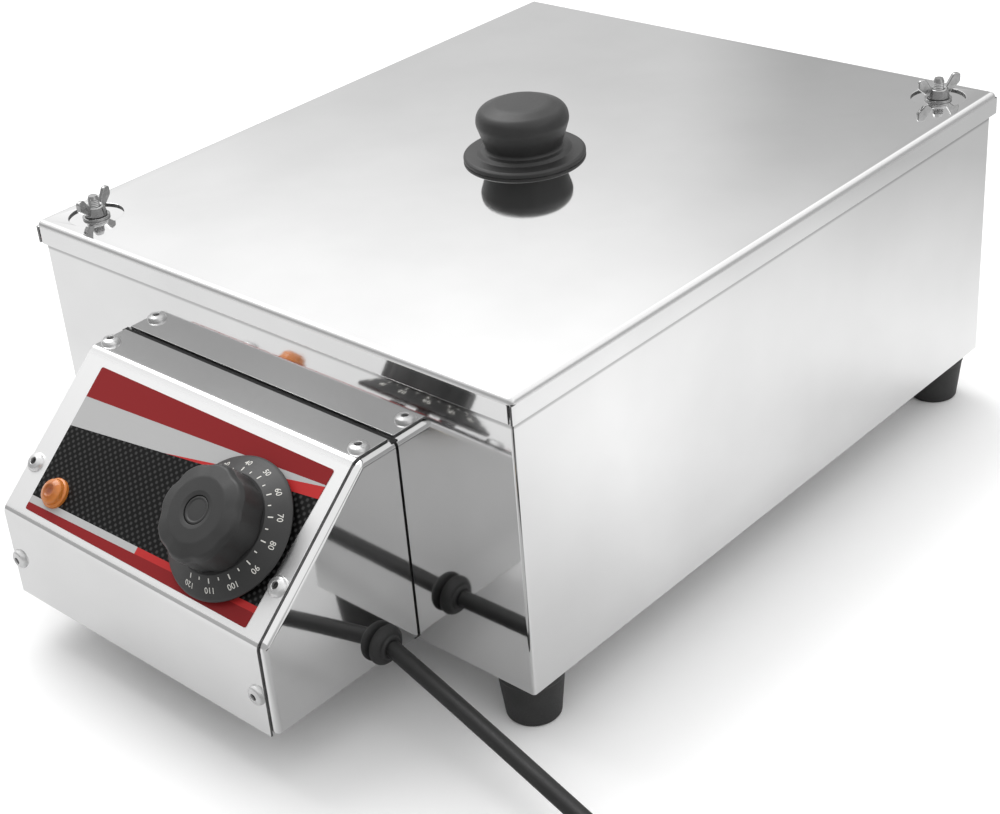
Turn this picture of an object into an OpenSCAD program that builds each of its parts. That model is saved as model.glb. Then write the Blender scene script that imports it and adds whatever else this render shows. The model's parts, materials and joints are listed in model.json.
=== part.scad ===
// Chocolate melting tank: a water-bath casing on rubber feet, a hung pan, a loose lid, and a control box

/* [Casing] */
// Width of the casing across its side walls
body_w = 270; // [255:1:340]
// Length of the casing from front wall to rear wall
body_l = 328; // [300:1:420]
// Height of the water space, from the casing's lower edge to the pan
bath_h = 38; // [34:1:80]
// Thickness of the casing sheet
casing_sheet = 1; // [0.8:0.1:1.5]
// Width of the rim that is turned in to carry the pan
rim_w = 28; // [26:1:36]

/* [Pan] */
// Depth of the pan below its flange
pan_depth = 90; // [84:1:140]
// Thickness of the pan sheet
pan_sheet = 1; // [0.8:0.1:1.5]
// Radius of the upright corners of the pan, outside
pan_corner_r = 14; // [6:1:30]
// Gap between the pan wall and the rim around it
pan_gap = 1; // [0.5:0.1:3]
// How far the flange stays inside the casing walls
flange_inset = 0.8; // [0.3:0.1:2]

/* [Lid] */
// Thickness of the lid sheet
lid_sheet = 1; // [0.8:0.1:1.5]
// Depth of the lid skirt, measured from the top face
lid_skirt = 10.5; // [6:0.5:20]
// Gap between the lid skirt and the casing wall
lid_gap = 0.9; // [0.5:0.1:2]
// Diameter of the lid holes around the wing nuts
lid_hole_d = 24; // [23:0.5:27]
// Width of the slit between two skirts at a corner
lid_slit = 1.2; // [0.4:0.1:1.5]

/* [Lid knob] */
// Diameter of the brim
knob_brim_d = 54; // [44:1:70]
// Thickness of the brim at its edge
knob_brim_t = 2.5; // [2:0.5:4]
// Diameter of the neck between brim and head
knob_neck_d = 34; // [24:1:36]
// Diameter of the head
knob_head_d = 41; // [38:1:50]
// Height of the whole knob
knob_h = 25; // [22:1:40]
// Diameter of the screw that holds the knob
knob_screw_d = 5; // [4:0.5:6]

/* [Pan studs and wing nuts] */
// Distance of each stud from the side wall and the end wall
stud_inset = 17; // [15:0.5:18]
// Diameter of the studs
stud_d = 5; // [4:0.5:6]
// Height of a stud above the pan flange
stud_h = 10; // [9:0.5:18]
// Diameter of the washer
washer_d = 12; // [11:0.5:15]
// Thickness of the washer
washer_t = 1; // [0.8:0.1:1.6]
// Diameter of the nut hub at its foot
nut_hub_d = 10; // [9:0.5:12]
// Height of the nut hub
nut_hub_h = 4.5; // [4:0.5:7]
// Span over both wings
nut_span = 21; // [18:0.5:22]
// Height of the wing tips above the washer
nut_h = 10; // [8:0.5:14]
// Thickness of a wing
nut_wing_t = 2; // [1.5:0.1:3]
// Direction of the front nut's wings, from the part's right side
front_nut_turn = 104; // [0:1:180]
// Direction of the rear nut's wings, from the part's right side
rear_nut_turn = 62; // [0:1:180]

/* [Feet] */
// Height of a foot
foot_h = 23; // [18:1:40]
// Diameter of a foot at the casing
foot_top_d = 27; // [24:1:34]
// Diameter of a foot at the ground
foot_low_d = 22; // [20:1:30]
// Distance of a foot's axis from the side wall and the end wall
foot_inset = 14.5; // [14:0.5:30]
// Diameter of the foot stud
foot_stud_d = 5; // [4:0.5:6]
// Diameter of the recess for the nut
foot_recess_d = 14; // [12:0.5:15]
// Height of the recess
foot_recess_h = 9; // [7:0.5:12]

/* [Control box] */
// Width over the two side panels
box_w = 163; // [160:1:190]
// Distance of the box centre line to the right of the casing centre line
box_x = -6.5; // [-20:0.5:20]
// Height of the box
box_h = 92; // [88:1:110]
// Depth of the box from the casing's front wall
box_d = 77; // [75:1:95]
// Depth of the level strip at the top
strip_d = 19; // [17:0.5:24]
// Slope of the panel from level
slope = 41; // [38:0.5:44]
// Thickness of the box sheet
box_sheet = 1; // [0.8:0.1:1.5]
// Thickness of the cover sheet
cover_sheet = 1; // [0.8:0.1:1.5]
// How far each side panel stands out past the cover's edge
cover_inset = 3; // [2:0.5:5]
// Width of the flanges turned in along the side panels
box_flange_w = 12; // [12:0.5:16]
// Thickness of the seal against the casing
seal_t = 1.5; // [1:0.1:3]
// How far the seal stays inside the two side panels
seal_inset = 0.8; // [0:0.1:2]

/* [Rivets] */
// Diameter of a rivet head
rivet_head_d = 8.5; // [6:0.5:9]
// Height of a rivet head
rivet_head_h = 2.2; // [1.5:0.1:3]
// Diameter of a rivet shank
rivet_d = 4; // [3:0.1:4.8]
// Distance of the rivets from the cover's edge
rivet_inset = 4.3; // [4:0.1:4.8]
// Distance of the upper rivets from the casing's front wall
rivet_strip = 12.5; // [10:0.5:12.5]
// Distance of the middle rivets from the lower fold, along the slope
rivet_v = 23; // [16:0.5:50]
// Height of the lower rivets above the casing's lower edge
rivet_low = 18; // [10:0.5:26]

/* [Label] */
// Height of the label along the slope
label_h = 66; // [64:1:68]
// Thickness of the label
label_t = 0.3; // [0.2:0.1:0.5]
// Distance of the label from the lower fold
label_v = 4.3; // [3:0.1:5]
// Gap between the label's left edge and the rivet heads
label_gap_left = 3.5; // [1:0.1:6]
// Gap between the label's right edge and the rivet heads
label_gap_right = 0.5; // [0.3:0.1:3]

/* [Dial] */
// Distance of the dial axis from the cover's right edge
dial_inset = 36.4; // [36:0.1:40.5]
// Distance of the dial axis from the lower fold, along the slope
dial_v = 34.2; // [34:0.1:36]
// Diameter of the numbered skirt
dial_d = 58; // [54:1:62]
// Thickness of the skirt at its edge
dial_edge_t = 1.6; // [1.2:0.1:2.5]
// Diameter of the grip
grip_d = 40; // [36:1:46]
// Height of the dial above the panel
dial_h = 24; // [18:0.5:26]
// Number of finger hollows around the grip
grip_hollows = 8; // [6:1:12]
// Depth of a finger hollow
grip_hollow_depth = 0.9; // [0.3:0.1:1.5]
// Diameter of the cap in the grip
cap_d = 11; // [9:0.5:18]
// Gap between the skirt and the label
dial_gap = 1.7; // [1.6:0.1:3]
// Diameter of the thermostat shaft
shaft_d = 6; // [5:0.5:8]

/* [Pilot lamp] */
// Distance of the lamp from the cover's left edge
lamp_inset = 24.6; // [22.5:0.1:30.5]
// Distance of the lamp from the lower fold, along the slope
lamp_v = 15.4; // [14:0.1:30]
// Diameter of the lens
lamp_d = 13; // [12:0.5:15]
// Height of the lens above the label
lamp_h = 5; // [3:0.5:8]
// Diameter of the lamp body behind the panel
lamp_body_d = 10; // [8:0.5:10.5]
// Length of the lamp body behind the label
lamp_body_l = 22; // [16:1:26]

/* [Thermostat] */
// Width of the thermostat body
thermo_w = 42; // [36:1:44]
// Height of the thermostat body along the slope
thermo_l = 36; // [30:1:38]
// Depth of the thermostat body behind the panel
thermo_depth = 26; // [20:1:28]
// Spacing of the two panel screws
thermo_pitch = 28; // [24:1:30]
// Diameter of the capillary tube
capillary_d = 2; // [1.5:0.1:2.5]
// Diameter of the sensor bulb
bulb_d = 6; // [5:0.5:8]
// Length of the sensor bulb
sensor_l = 90; // [60:1:120]
// Distance of the sensor to the right of the box centre line
bulb_x = 54; // [53:0.5:56]

/* [Heating element] */
// Diameter of the element tube
element_d = 8; // [6:0.5:8.5]
// Distance between the two legs
element_pitch = 60; // [54:1:64]
// Reach of the element behind the front wall, to the end of its straight legs
element_l = 250; // [180:1:255]
// Height of the element above the casing's lower edge
element_z = 17; // [16:0.5:19]
// Width across the flats of the bushing hexagon and its nut
bushing_af = 19; // [18:0.5:21]
// Diameter of the bushing thread
bushing_d = 14; // [12:0.5:15]

/* [Power cord] */
// Diameter of the cord
cord_d = 7; // [6:0.1:7]
// Distance of the grommet in front of the casing's front wall
grommet_y = 20; // [19:0.5:24]
// Height of the grommet above the casing's lower edge
grommet_z = 10; // [9:0.5:14]
// Diameter of the grommet outside the panel
grommet_d = 16.5; // [13:0.5:17]
// Length of the grommet's round part outside the panel
grommet_t = 5; // [4:0.5:7]
// Length of the grommet's collar
grommet_collar = 1; // [1:0.5:8]
// Distance from the grommet to the start of the coil, to the right
coil_x = 217; // [140:1:230]
// Distance from the grommet to the start of the coil, to the rear
coil_y = -36; // [-44:1:-10]
// Radius of the innermost turn of the coil
coil_r = 28.5; // [28:0.5:36]
// Distance from one turn to the next, and from one layer to the next
coil_pitch = 7.6; // [7.5:0.1:9]
// Thickness of the tie around the coil
tie_t = 1.2; // [0.8:0.1:2]
// Width of the tie
tie_w = 9; // [5:0.5:16]

/* [Plug] */
// Width of the plug body
plug_w = 36; // [34:1:40]
// Length of the plug body
plug_l = 40; // [32:1:48]
// Length of the tapered relief where the cord goes in
plug_relief_l = 33; // [33:1:50]
// Diameter of a pin
pin_d = 4; // [3:0.1:4.8]
// Length of a pin
pin_l = 19; // [15:0.5:22]
// Distance between the two outer pins
pin_pitch = 19; // [14:0.5:22]

/* [Fits] */
// Radial clearance of a shaft or a nut that turns
run_fit = 0.05; // [0.02:0.01:0.1]
// Radial clearance of a fastener in its hole
hole_fit = 0.15; // [0.1:0.05:0.4]
// Radial clearance of the pan flange and the washers around the studs
stud_fit = 0.3; // [0.2:0.05:0.6]
// Clearance of the tie around the coil
tie_fit = 0.3; // [0.3:0.05:0.8]

/* [Hidden] */
$fn = 64;
// Place of the casing's front wall, which puts the origin under the middle of the whole
front_y = -(body_l - box_d) / 2;
body_h = pan_depth + bath_h;
rear_y = front_y + body_l;
mid_y = (front_y + rear_y) / 2;
cut = 1;
rim_top = foot_h + body_h;
flange_top = rim_top + pan_sheet;
lid_top = flange_top + lid_sheet;
floor_top = foot_h + casing_sheet;
pan_w = body_w - 2 * rim_w - 2 * pan_gap;
pan_l = body_l - 2 * rim_w - 2 * pan_gap;
pan_low = rim_top - pan_depth;
front_stud = [-body_w / 2 + stud_inset, front_y + stud_inset];
rear_stud = [body_w / 2 - stud_inset, rear_y - stud_inset];
foot_stud_low = 4;
foot_nut_h = 4;
foot_nut_af = 1.6 * foot_stud_d;
knob_screw_l = 16;
knob_washer_d = 14;
knob_washer_t = 1.2;

// Control box outline, seen from its right side
box_rear = front_y - seal_t;
box_front = front_y - box_d;
strip_y = front_y - strip_d;
box_top = foot_h + box_h;
fold_z = box_top - (box_d - strip_d) * tan(slope);
cover_w = box_w - 2 * cover_inset;
rivet_x = cover_w / 2 - rivet_inset;
dial_x = cover_w / 2 - dial_inset;
lamp_x = cover_w / 2 - lamp_inset;
rivet_reach = rivet_x - rivet_head_d / 2;
label_left = -rivet_reach + label_gap_left;
label_w = 2 * rivet_reach - label_gap_left - label_gap_right;
box_floor = foot_h + box_sheet;
box_right = box_x + box_w / 2;
seal_low_w = 6;
box_stud_d = 4;
box_stud_l = 9;
box_stud_inset = 5;
box_stud_low = 30;
box_stud_high = 16;
box_stud_x = box_w / 2 - box_sheet - box_stud_inset;
box_stud_z = [foot_h + box_stud_low, box_top - box_stud_high];

// Dial, from the panel outwards
skirt_low = label_t + dial_gap;
skirt_top = 8.5;
skirt_step = 0.6;
grip_edge = 2.5;
cap_t = 1;
cap_depth = 1.6;
shaft_top = dial_h - cap_depth - 2;
shaft_depth = 12;
shaft_flat = shaft_d / 4;
shaft_space = 2;
bore_end = 1;
dish = 0.6;
dish_edge = 3;
thermo_low = -cover_sheet - thermo_depth;
tab_w = 6;
tab_t = 3;
tab_l = 7;
tab_inset = 11;
tab_x = thermo_w / 2 - tab_inset;
tab_v = -8;
lamp_tab_x = 2.5;
lamp_tab_w = 3;
panel_screw_d = 4;
panel_screw_head_d = 7;
panel_screw_head_h = 1.2;
panel_screw_l = 8;

// Heating element and sensor
leg_x = [box_x - element_pitch / 2, box_x + element_pitch / 2];
leg_z = foot_h + element_z;
leg_end = front_y + element_l;
element_out = 14;
element_seal_t = 1.5;
bushing_head_t = 5;
bushing_out = 12;
nut_t = 5;
wall_in = front_y + casing_sheet;
bead_d = 7;
bead_l = 4;
lug = 6;
lug_l = 5;
lug_end = front_y - element_out - bead_l - lug_l;
bracket_t = 1.5;
bracket_y = front_y + element_l * 0.8;
bracket_foot = 12;
bracket_edge = 3;
sensor_x = box_x + bulb_x;
sensor_z = foot_h + bath_h * 0.65;
gland_d = 8;
gland_af = 13;
gland_out = 10;
gland_in = 7;
gland_head_t = 4;
bulb_start = wall_in + 10;
bulb_bracket_y = bulb_start + sensor_l * 0.7;

// Wiring
wire_d = 2.4;
core_d = 2.2;
core_ring = 1.75;
block_w = 16;
block_l = 32;
block_h = 12;
block_pitch = 10.5;
block_right = 36;
block_front = 53;
block_x = box_x + block_right;
block_y = front_y - block_front;
block_z = box_floor + block_h / 2;
tail_in = 12;
live_bend = 18;
lug_bend = 14;
lamp_bend = 16;
neutral_bend = 12;
earth_bend = 5;
core_bend = 9;
capillary_bend = 22;
cord_r = cord_d / 2;
cord_y = front_y - grommet_y;
cord_z = foot_h + grommet_z;
grommet_end = box_right + grommet_t + grommet_collar;
grommet_neck_d = 10;
grommet_in_t = 3;
collar_wall = 1;
earth_af = 8;
earth_h = 4;
earth_l = 4;
earth_x = box_x - 10;
earth_y = block_y - block_pitch;

// Free stretch of the cord, in one slow bend from the grommet down to the coil
cord_start = [grommet_end, cord_y, cord_z];
coil_start = [grommet_end + coil_x, cord_y + coil_y, cord_r + tie_t + tie_fit];
cord_swing = -8.5;
cord_dip = -0.12;
drop_reach = 80;
coil_reach = 30;
coil_heading = -15;
coil_sides = 6;
coil_step = 15;
// From the start of the coil right round to the plug, seen from above, clockwise
coil_sweep = 5 * 360 + 165;
coil_out_r = coil_r + coil_pitch * coil_sweep / 720;
coil_z = coil_start[2];
heading_dir = [cos(coil_heading), sin(coil_heading), 0];
coil_mid = coil_start + cord_d * heading_dir + coil_out_r * [heading_dir[1], -heading_dir[0], 0];
plug_z = coil_z + coil_pitch;
tie_angle = 150;

function unit(v) = v / norm(v);
function swing(r, a, z) = [r * cos(a), r * sin(a), z];
function ease(t) = t <= 0 ? 0 : t >= 1 ? 1 : t * t * (3 - 2 * t);
function across(v, t) = unit(v - (v * t) * t);
// Direction of a path at each of its points, given at its two ends
function headings(p, first, last) = [for (i = [0 : len(p) - 1])
    i == 0 ? first : i == len(p) - 1 ? last : unit(p[i + 1] - p[i - 1])];
// A side vector that is carried along the path without twist
function sides_of(t, v) = [for (i = 0, s = across(v, t[0]); i < len(t);
    i = i + 1, s = across(s, t[min(i, len(t) - 1)])) s];
// Points of a wire that leaves one place along one direction and meets another along a second one
function wire_path(p, from, q, into, reach, n = 12, last = 0) = [for (i = [0 : n])
    let (t = i / n, a = p + reach * from, b = q - (last > 0 ? last : reach) * into)
    pow(1 - t, 3) * p + 3 * t * pow(1 - t, 2) * a + 3 * t * t * (1 - t) * b + pow(t, 3) * q];
// A place on the sloped panel: to the right of the centre line, up the slope, and out of the panel
function on_panel(x, v, h) = [
    box_x + x,
    box_front + v * cos(slope) - h * sin(slope),
    fold_z + v * sin(slope) + h * cos(slope)];
panel_in = [0, sin(slope), -cos(slope)];
rearward = [0, 1, 0];
rightward = [1, 0, 0];
downward = [0, 0, -1];
// Outline of the control box in its depth and height, drawn in by a thickness
function box_outline(t, low, rear) = [
    [rear, low],
    [box_front + t, low],
    [box_front + t, fold_z - t * tan(45 - slope / 2)],
    [strip_y + t * tan(slope / 2), box_top - t],
    [rear, box_top - t]];
function rounded(w, l, r, n = 8) = [for (c = [0 : 3], i = [0 : n])
    let (a = 90 * (c + i / n), sx = c == 0 || c == 3 ? 1 : -1, sy = c < 2 ? 1 : -1)
    [sx * (w / 2 - r) + r * cos(a), sy * (l / 2 - r) + r * sin(a)]];

coil_turns = [for (i = [0 : coil_sweep / coil_step])
    let (f = i * coil_step, off = f - coil_sweep / 2)
    coil_mid + swing(coil_out_r - coil_pitch * (coil_sweep / 2 - abs(off)) / 360,
        90 + coil_heading - f, coil_z - coil_mid[2] + coil_pitch * ease(off / 180 + 0.5))];
plug_dir = [-1, 0, 0];
coil_end = coil_turns[len(coil_turns) - 1];
plug_start = coil_end + cord_d * plug_dir;
coil_path = concat([coil_start], coil_turns, [plug_start]);
cord_dir = unit(swing(1, cord_swing, cord_dip));
cord_route = wire_path(cord_start, cord_dir, coil_start, heading_dir, drop_reach, 18, coil_reach);
coil_gap = min([for (i = [0 : len(coil_path) - 1], j = [i + 8 : 1 : len(coil_path) - 1])
    norm(coil_path[i] - coil_path[j])]) - cord_d;
function run_length(p) = len(p) < 2 ? 0 :
    [for (i = [1 : len(p) - 1]) norm(p[i] - p[i - 1])] * [for (i = [1 : len(p) - 1]) 1];
echo(coil_gap = coil_gap, free = run_length(cord_route), coil = run_length(coil_path));

steel = [0.82, 0.83, 0.84];
zinc = [0.7, 0.71, 0.72];
black = [0.1, 0.1, 0.11];
brass = [0.75, 0.6, 0.3];

// A round tube through every point of a path, closed square to its first and last direction
module tube(path, r, first, last, sides = 8) {
    t = headings(path, first, last);
    s = sides_of(t, abs(t[0][2]) < 0.9 ? [0, 0, 1] : [0, 1, 0]);
    n = len(path);
    points = [for (i = [0 : n - 1], j = [0 : sides - 1])
        let (a = 360 * j / sides) path[i] + r * (cos(a) * s[i] + sin(a) * cross(t[i], s[i]))];
    walls = [for (i = [0 : n - 2], j = [0 : sides - 1])
        let (a = i * sides + j, b = i * sides + (j + 1) % sides)
        each [[a, b, b + sides], [a, b + sides, a + sides]]];
    first_end = [for (j = [1 : sides - 2]) [0, j + 1, j]];
    last_end = [for (j = [1 : sides - 2]) [(n - 1) * sides, (n - 1) * sides + j, (n - 1) * sides + j + 1]];
    faces = [for (f = concat(walls, first_end, last_end)) [f[2], f[1], f[0]]];
    polyhedron(points = points, faces = faces);
}

// A shape drawn in depth and height, stretched to the right from x
module along_x(x, w) {
    translate([x, 0, 0]) rotate([90, 0, 90]) linear_extrude(w) children();
}

// Children stand on the sloped panel, with their Z out of it
module panel(x, v) {
    translate(on_panel(x, v, 0)) rotate([slope, 0, 0]) children();
}

// Children point to the front, with their Z along the part's -Y
module facing_front(x, y, z) {
    translate([x, y, z]) rotate([90, 0, 0]) children();
}

module at_feet() {
    for (x = [-1, 1], y = [front_y + foot_inset, rear_y - foot_inset])
        translate([x * (body_w / 2 - foot_inset), y, 0]) children();
}

module hexagon(af, h) {
    cylinder(d = af / cos(30), h = h, $fn = 6);
}

module casing_wrap() {
    color(steel) difference() {
        translate([-body_w / 2, front_y, foot_h]) cube([body_w, body_l, body_h]);
        translate([-body_w / 2 + casing_sheet, front_y + casing_sheet, foot_h - cut])
            cube([body_w - 2 * casing_sheet, body_l - 2 * casing_sheet, body_h - casing_sheet + cut]);
        translate([-body_w / 2 + rim_w, front_y + rim_w, rim_top - casing_sheet - cut])
            cube([body_w - 2 * rim_w, body_l - 2 * rim_w, casing_sheet + 2 * cut]);
        for (x = leg_x)
            facing_front(x, wall_in + cut, leg_z)
                cylinder(d = bushing_d + 2 * hole_fit, h = casing_sheet + 2 * cut);
        facing_front(sensor_x, wall_in + cut, sensor_z)
            cylinder(d = gland_d + 2 * hole_fit, h = casing_sheet + 2 * cut);
    }
}

module casing_floor() {
    color(steel) translate([-body_w / 2 + casing_sheet, front_y + casing_sheet, foot_h])
        cube([body_w - 2 * casing_sheet, body_l - 2 * casing_sheet, casing_sheet]);
}

module inner_pan() {
    inner_r = pan_corner_r - pan_sheet;
    color(steel) difference() {
        union() {
            translate([-body_w / 2 + flange_inset, front_y + flange_inset, rim_top])
                cube([body_w - 2 * flange_inset, body_l - 2 * flange_inset, pan_sheet]);
            translate([0, mid_y, pan_low]) linear_extrude(pan_depth)
                polygon(rounded(pan_w, pan_l, pan_corner_r));
        }
        translate([0, mid_y, pan_low + pan_sheet]) linear_extrude(pan_depth + cut)
            polygon(rounded(pan_w - 2 * pan_sheet, pan_l - 2 * pan_sheet, inner_r));
        for (p = [front_stud, rear_stud])
            translate([p[0], p[1], rim_top - cut])
                cylinder(d = stud_d + 2 * stud_fit, h = pan_sheet + 2 * cut);
    }
}

module rim_studs() {
    color(zinc) for (p = [front_stud, rear_stud])
        translate([p[0], p[1], rim_top]) cylinder(d = stud_d, h = pan_sheet + stud_h);
}

module stud_washer(p) {
    color(zinc) translate([p[0], p[1], flange_top]) difference() {
        cylinder(d = washer_d, h = washer_t);
        translate([0, 0, -cut]) cylinder(d = stud_d + 2 * stud_fit, h = washer_t + 2 * cut);
    }
}

module wing_nut(p, turn) {
    tip_r = 2.4;
    taper = 2;
    root = 2.5;
    root_w = 1.5;
    root_z = 1;
    color(zinc) translate([p[0], p[1], flange_top + washer_t]) rotate([0, 0, turn]) difference() {
        union() {
            cylinder(d1 = nut_hub_d, d2 = nut_hub_d - taper, h = nut_hub_h);
            for (side = [0, 180])
                rotate([90, 0, side]) linear_extrude(nut_wing_t, center = true) hull() {
                    translate([nut_hub_d / 2 - root, root_z]) square([root_w, nut_hub_h - 2 * root_z]);
                    translate([nut_span / 2 - tip_r, nut_h - tip_r]) circle(tip_r, $fn = 24);
                }
        }
        translate([0, 0, -cut]) cylinder(d = stud_d + 2 * run_fit, h = nut_h + 2 * cut);
    }
}

module front_washer() { stud_washer(front_stud); }
module rear_washer() { stud_washer(rear_stud); }
module wing_nut_front() { wing_nut(front_stud, front_nut_turn); }
module wing_nut_rear() { wing_nut(rear_stud, rear_nut_turn); }

module lid() {
    out = lid_gap + lid_sheet;
    w = body_w + 2 * out;
    l = body_l + 2 * out;
    color(steel) difference() {
        translate([-w / 2, front_y - out, lid_top - lid_skirt]) cube([w, l, lid_skirt]);
        translate([-w / 2 + lid_sheet, front_y - lid_gap, lid_top - lid_skirt - cut])
            cube([w - 2 * lid_sheet, l - 2 * lid_sheet, lid_skirt - lid_sheet + cut]);
        for (x = [-1, 1], y = [0, 1])
            translate([x * (w / 2 - lid_sheet - lid_slit / 2) - lid_slit / 2,
                y == 0 ? front_y - out - cut : rear_y + lid_gap - cut, lid_top - lid_skirt - cut])
                cube([lid_slit, lid_sheet + 2 * cut, lid_skirt - lid_sheet + cut]);
        for (p = [front_stud, rear_stud])
            translate([p[0], p[1], flange_top - cut]) cylinder(d = lid_hole_d, h = lid_sheet + 2 * cut);
        translate([0, mid_y, flange_top - cut])
            cylinder(d = knob_screw_d + 2 * hole_fit, h = lid_sheet + 2 * cut);
    }
}

module lid_knob() {
    brim_r = knob_brim_d / 2;
    neck_r = knob_neck_d / 2;
    edge = 1.2;
    throat = 2.5;
    under_r = 3;
    upper_r = 7;
    crown = 0.7;
    head_r = knob_head_d / 2;
    head_z = knob_h - edge - upper_r;
    bore = knob_screw_l - lid_sheet - knob_washer_t + bore_end;
    color(black) translate([0, mid_y, lid_top]) difference() {
        rotate_extrude() polygon(concat(
            [[0, 0],
                [brim_r - edge, 0],
                [brim_r, edge],
                [brim_r, knob_brim_t],
                [brim_r - edge, knob_brim_t + crown],
                [neck_r + edge, knob_brim_t + edge],
                [neck_r, knob_brim_t + throat]],
            [for (a = [-60 : 15 : 0])
                [head_r - under_r + under_r * cos(a), head_z - under_r + under_r * sin(a)]],
            [for (a = [0 : 15 : 75])
                [head_r - upper_r + upper_r * cos(a), head_z + upper_r * sin(a)]],
            [[head_r / 2, knob_h - crown],
                [0, knob_h]]));
        translate([0, 0, -cut]) cylinder(d = knob_screw_d + 2 * hole_fit, h = bore + cut);
    }
}

module lid_knob_washer() {
    color(zinc) translate([0, mid_y, flange_top - knob_washer_t]) difference() {
        cylinder(d = knob_washer_d, h = knob_washer_t);
        translate([0, 0, -cut]) cylinder(d = knob_screw_d + 2 * hole_fit, h = knob_washer_t + 2 * cut);
    }
}

module lid_knob_screw() {
    head_h = 3;
    head_d = 1.8 * knob_screw_d;
    color(zinc) translate([0, mid_y, flange_top - knob_washer_t]) {
        cylinder(d = knob_screw_d, h = knob_screw_l);
        translate([0, 0, -head_h]) cylinder(d = head_d, h = head_h);
    }
}

module foot(x, y) {
    color(black) translate([x, y, 0]) difference() {
        cylinder(d1 = foot_low_d, d2 = foot_top_d, h = foot_h);
        translate([0, 0, -cut]) cylinder(d = foot_stud_d + 2 * hole_fit, h = foot_h + 2 * cut);
        translate([0, 0, -cut]) cylinder(d = foot_recess_d, h = foot_recess_h + cut);
    }
}

module foot_front_left() { foot(-body_w / 2 + foot_inset, front_y + foot_inset); }
module foot_front_right() { foot(body_w / 2 - foot_inset, front_y + foot_inset); }
module foot_rear_left() { foot(-body_w / 2 + foot_inset, rear_y - foot_inset); }
module foot_rear_right() { foot(body_w / 2 - foot_inset, rear_y - foot_inset); }

module foot_studs() {
    color(zinc) at_feet() translate([0, 0, foot_stud_low])
        cylinder(d = foot_stud_d, h = foot_h - foot_stud_low);
}

module foot_nuts() {
    color(zinc) at_feet() translate([0, 0, foot_recess_h - foot_nut_h]) difference() {
        hexagon(foot_nut_af, foot_nut_h);
        translate([0, 0, -cut]) cylinder(d = foot_stud_d + 2 * run_fit, h = foot_nut_h + 2 * cut);
    }
}

// Holes through the cover and the flanges for the six rivets
module at_rivets() {
    for (side = [-1, 1]) {
        translate([box_x + side * rivet_x, front_y - rivet_strip, box_top]) children();
        panel(side * rivet_x, rivet_v) children();
        facing_front(box_x + side * rivet_x, box_front, foot_h + rivet_low) children();
    }
}

module rivet_holes() {
    depth = cover_sheet + box_sheet + 2 * cut;
    at_rivets() translate([0, 0, cut - depth]) cylinder(d = rivet_d + 2 * hole_fit, h = depth);
}

module at_box_studs() {
    for (side = [-1, 1], z = box_stud_z)
        facing_front(box_x + side * box_stud_x, front_y, z) children();
}

module control_box_body() {
    inside = box_w - 2 * box_sheet;
    window = box_w - 2 * box_flange_w;
    inner = cover_sheet + box_sheet;
    color(steel) difference() {
        along_x(box_x - box_w / 2, box_w) polygon(box_outline(cover_sheet, foot_h, box_rear));
        along_x(box_x - inside / 2, inside) polygon(box_outline(inner, box_floor, box_rear - box_sheet));
        along_x(box_x - window / 2, window) polygon(box_outline(-cut, box_floor, box_rear + cut));
        rivet_holes();
        at_box_studs() cylinder(d = box_stud_d + 2 * hole_fit, h = seal_t + box_sheet + cut);
        translate([box_right - box_sheet - cut, cord_y, cord_z]) rotate([0, 90, 0])
            cylinder(d = grommet_neck_d + 2 * hole_fit, h = box_sheet + 2 * cut);
        translate([earth_x, earth_y, foot_h - cut])
            cylinder(d = box_stud_d + 2 * hole_fit, h = box_sheet + 2 * cut);
    }
}

module control_cover() {
    outer = box_outline(0, foot_h, box_rear);
    inner = box_outline(cover_sheet, foot_h, box_rear);
    through = cover_sheet + 2 * cut;
    color(steel) difference() {
        along_x(box_x - cover_w / 2, cover_w)
            polygon([outer[1], outer[2], outer[3], outer[4], inner[4], inner[3], inner[2], inner[1]]);
        rivet_holes();
        panel(dial_x, dial_v) translate([0, 0, cut - through]) panel_holes(through);
        panel(-lamp_x, lamp_v) translate([0, 0, cut - through])
            cylinder(d = lamp_body_d + 2 * hole_fit, h = through);
    }
}

// Holes for the thermostat shaft and its two screws
module panel_holes(h) {
    cylinder(d = shaft_d + 2 * shaft_space, h = h);
    for (x = [-1, 1])
        translate([x * thermo_pitch / 2, 0, 0]) cylinder(d = panel_screw_d + 2 * hole_fit, h = h);
}

module cover_rivets() {
    grip = cover_sheet + box_sheet;
    tail_h = 3;
    tail_d = 1.35 * rivet_d;
    mandrel_r = 0.3 * rivet_d;
    rim_h = 0.3 * rivet_head_h;
    dome_h = rivet_head_h - rim_h;
    dome_w = 0.9 * rivet_head_h;
    color(steel) at_rivets() {
        rotate_extrude() polygon(concat(
            [[0, 0], [rivet_head_d / 2, 0]],
            [for (a = [0 : 15 : 60])
                [rivet_head_d / 2 - 2 * dome_w * (1 - cos(a)), rim_h + dome_h * sin(a) / sin(60)]],
            [[mandrel_r, rivet_head_h], [mandrel_r, rim_h], [0, rim_h]]));
        translate([0, 0, -grip - tail_h]) cylinder(d = rivet_d, h = grip + tail_h);
        translate([0, 0, -grip - tail_h]) cylinder(d = tail_d, h = tail_h);
    }
}

module box_seal() {
    color(black) difference() {
        translate([box_x - box_w / 2 + seal_inset, box_rear, foot_h])
            cube([box_w - 2 * seal_inset, seal_t, box_h - cover_sheet]);
        translate([box_x - box_w / 2 + box_flange_w, box_rear - cut, foot_h + seal_low_w])
            cube([box_w - 2 * box_flange_w, seal_t + 2 * cut, box_h - cover_sheet - 2 * seal_low_w]);
        at_box_studs() translate([0, 0, -cut])
            cylinder(d = box_stud_d + 2 * hole_fit, h = seal_t + 2 * cut);
    }
}

module box_studs() {
    color(zinc) at_box_studs() cylinder(d = box_stud_d, h = box_stud_l);
}

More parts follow.
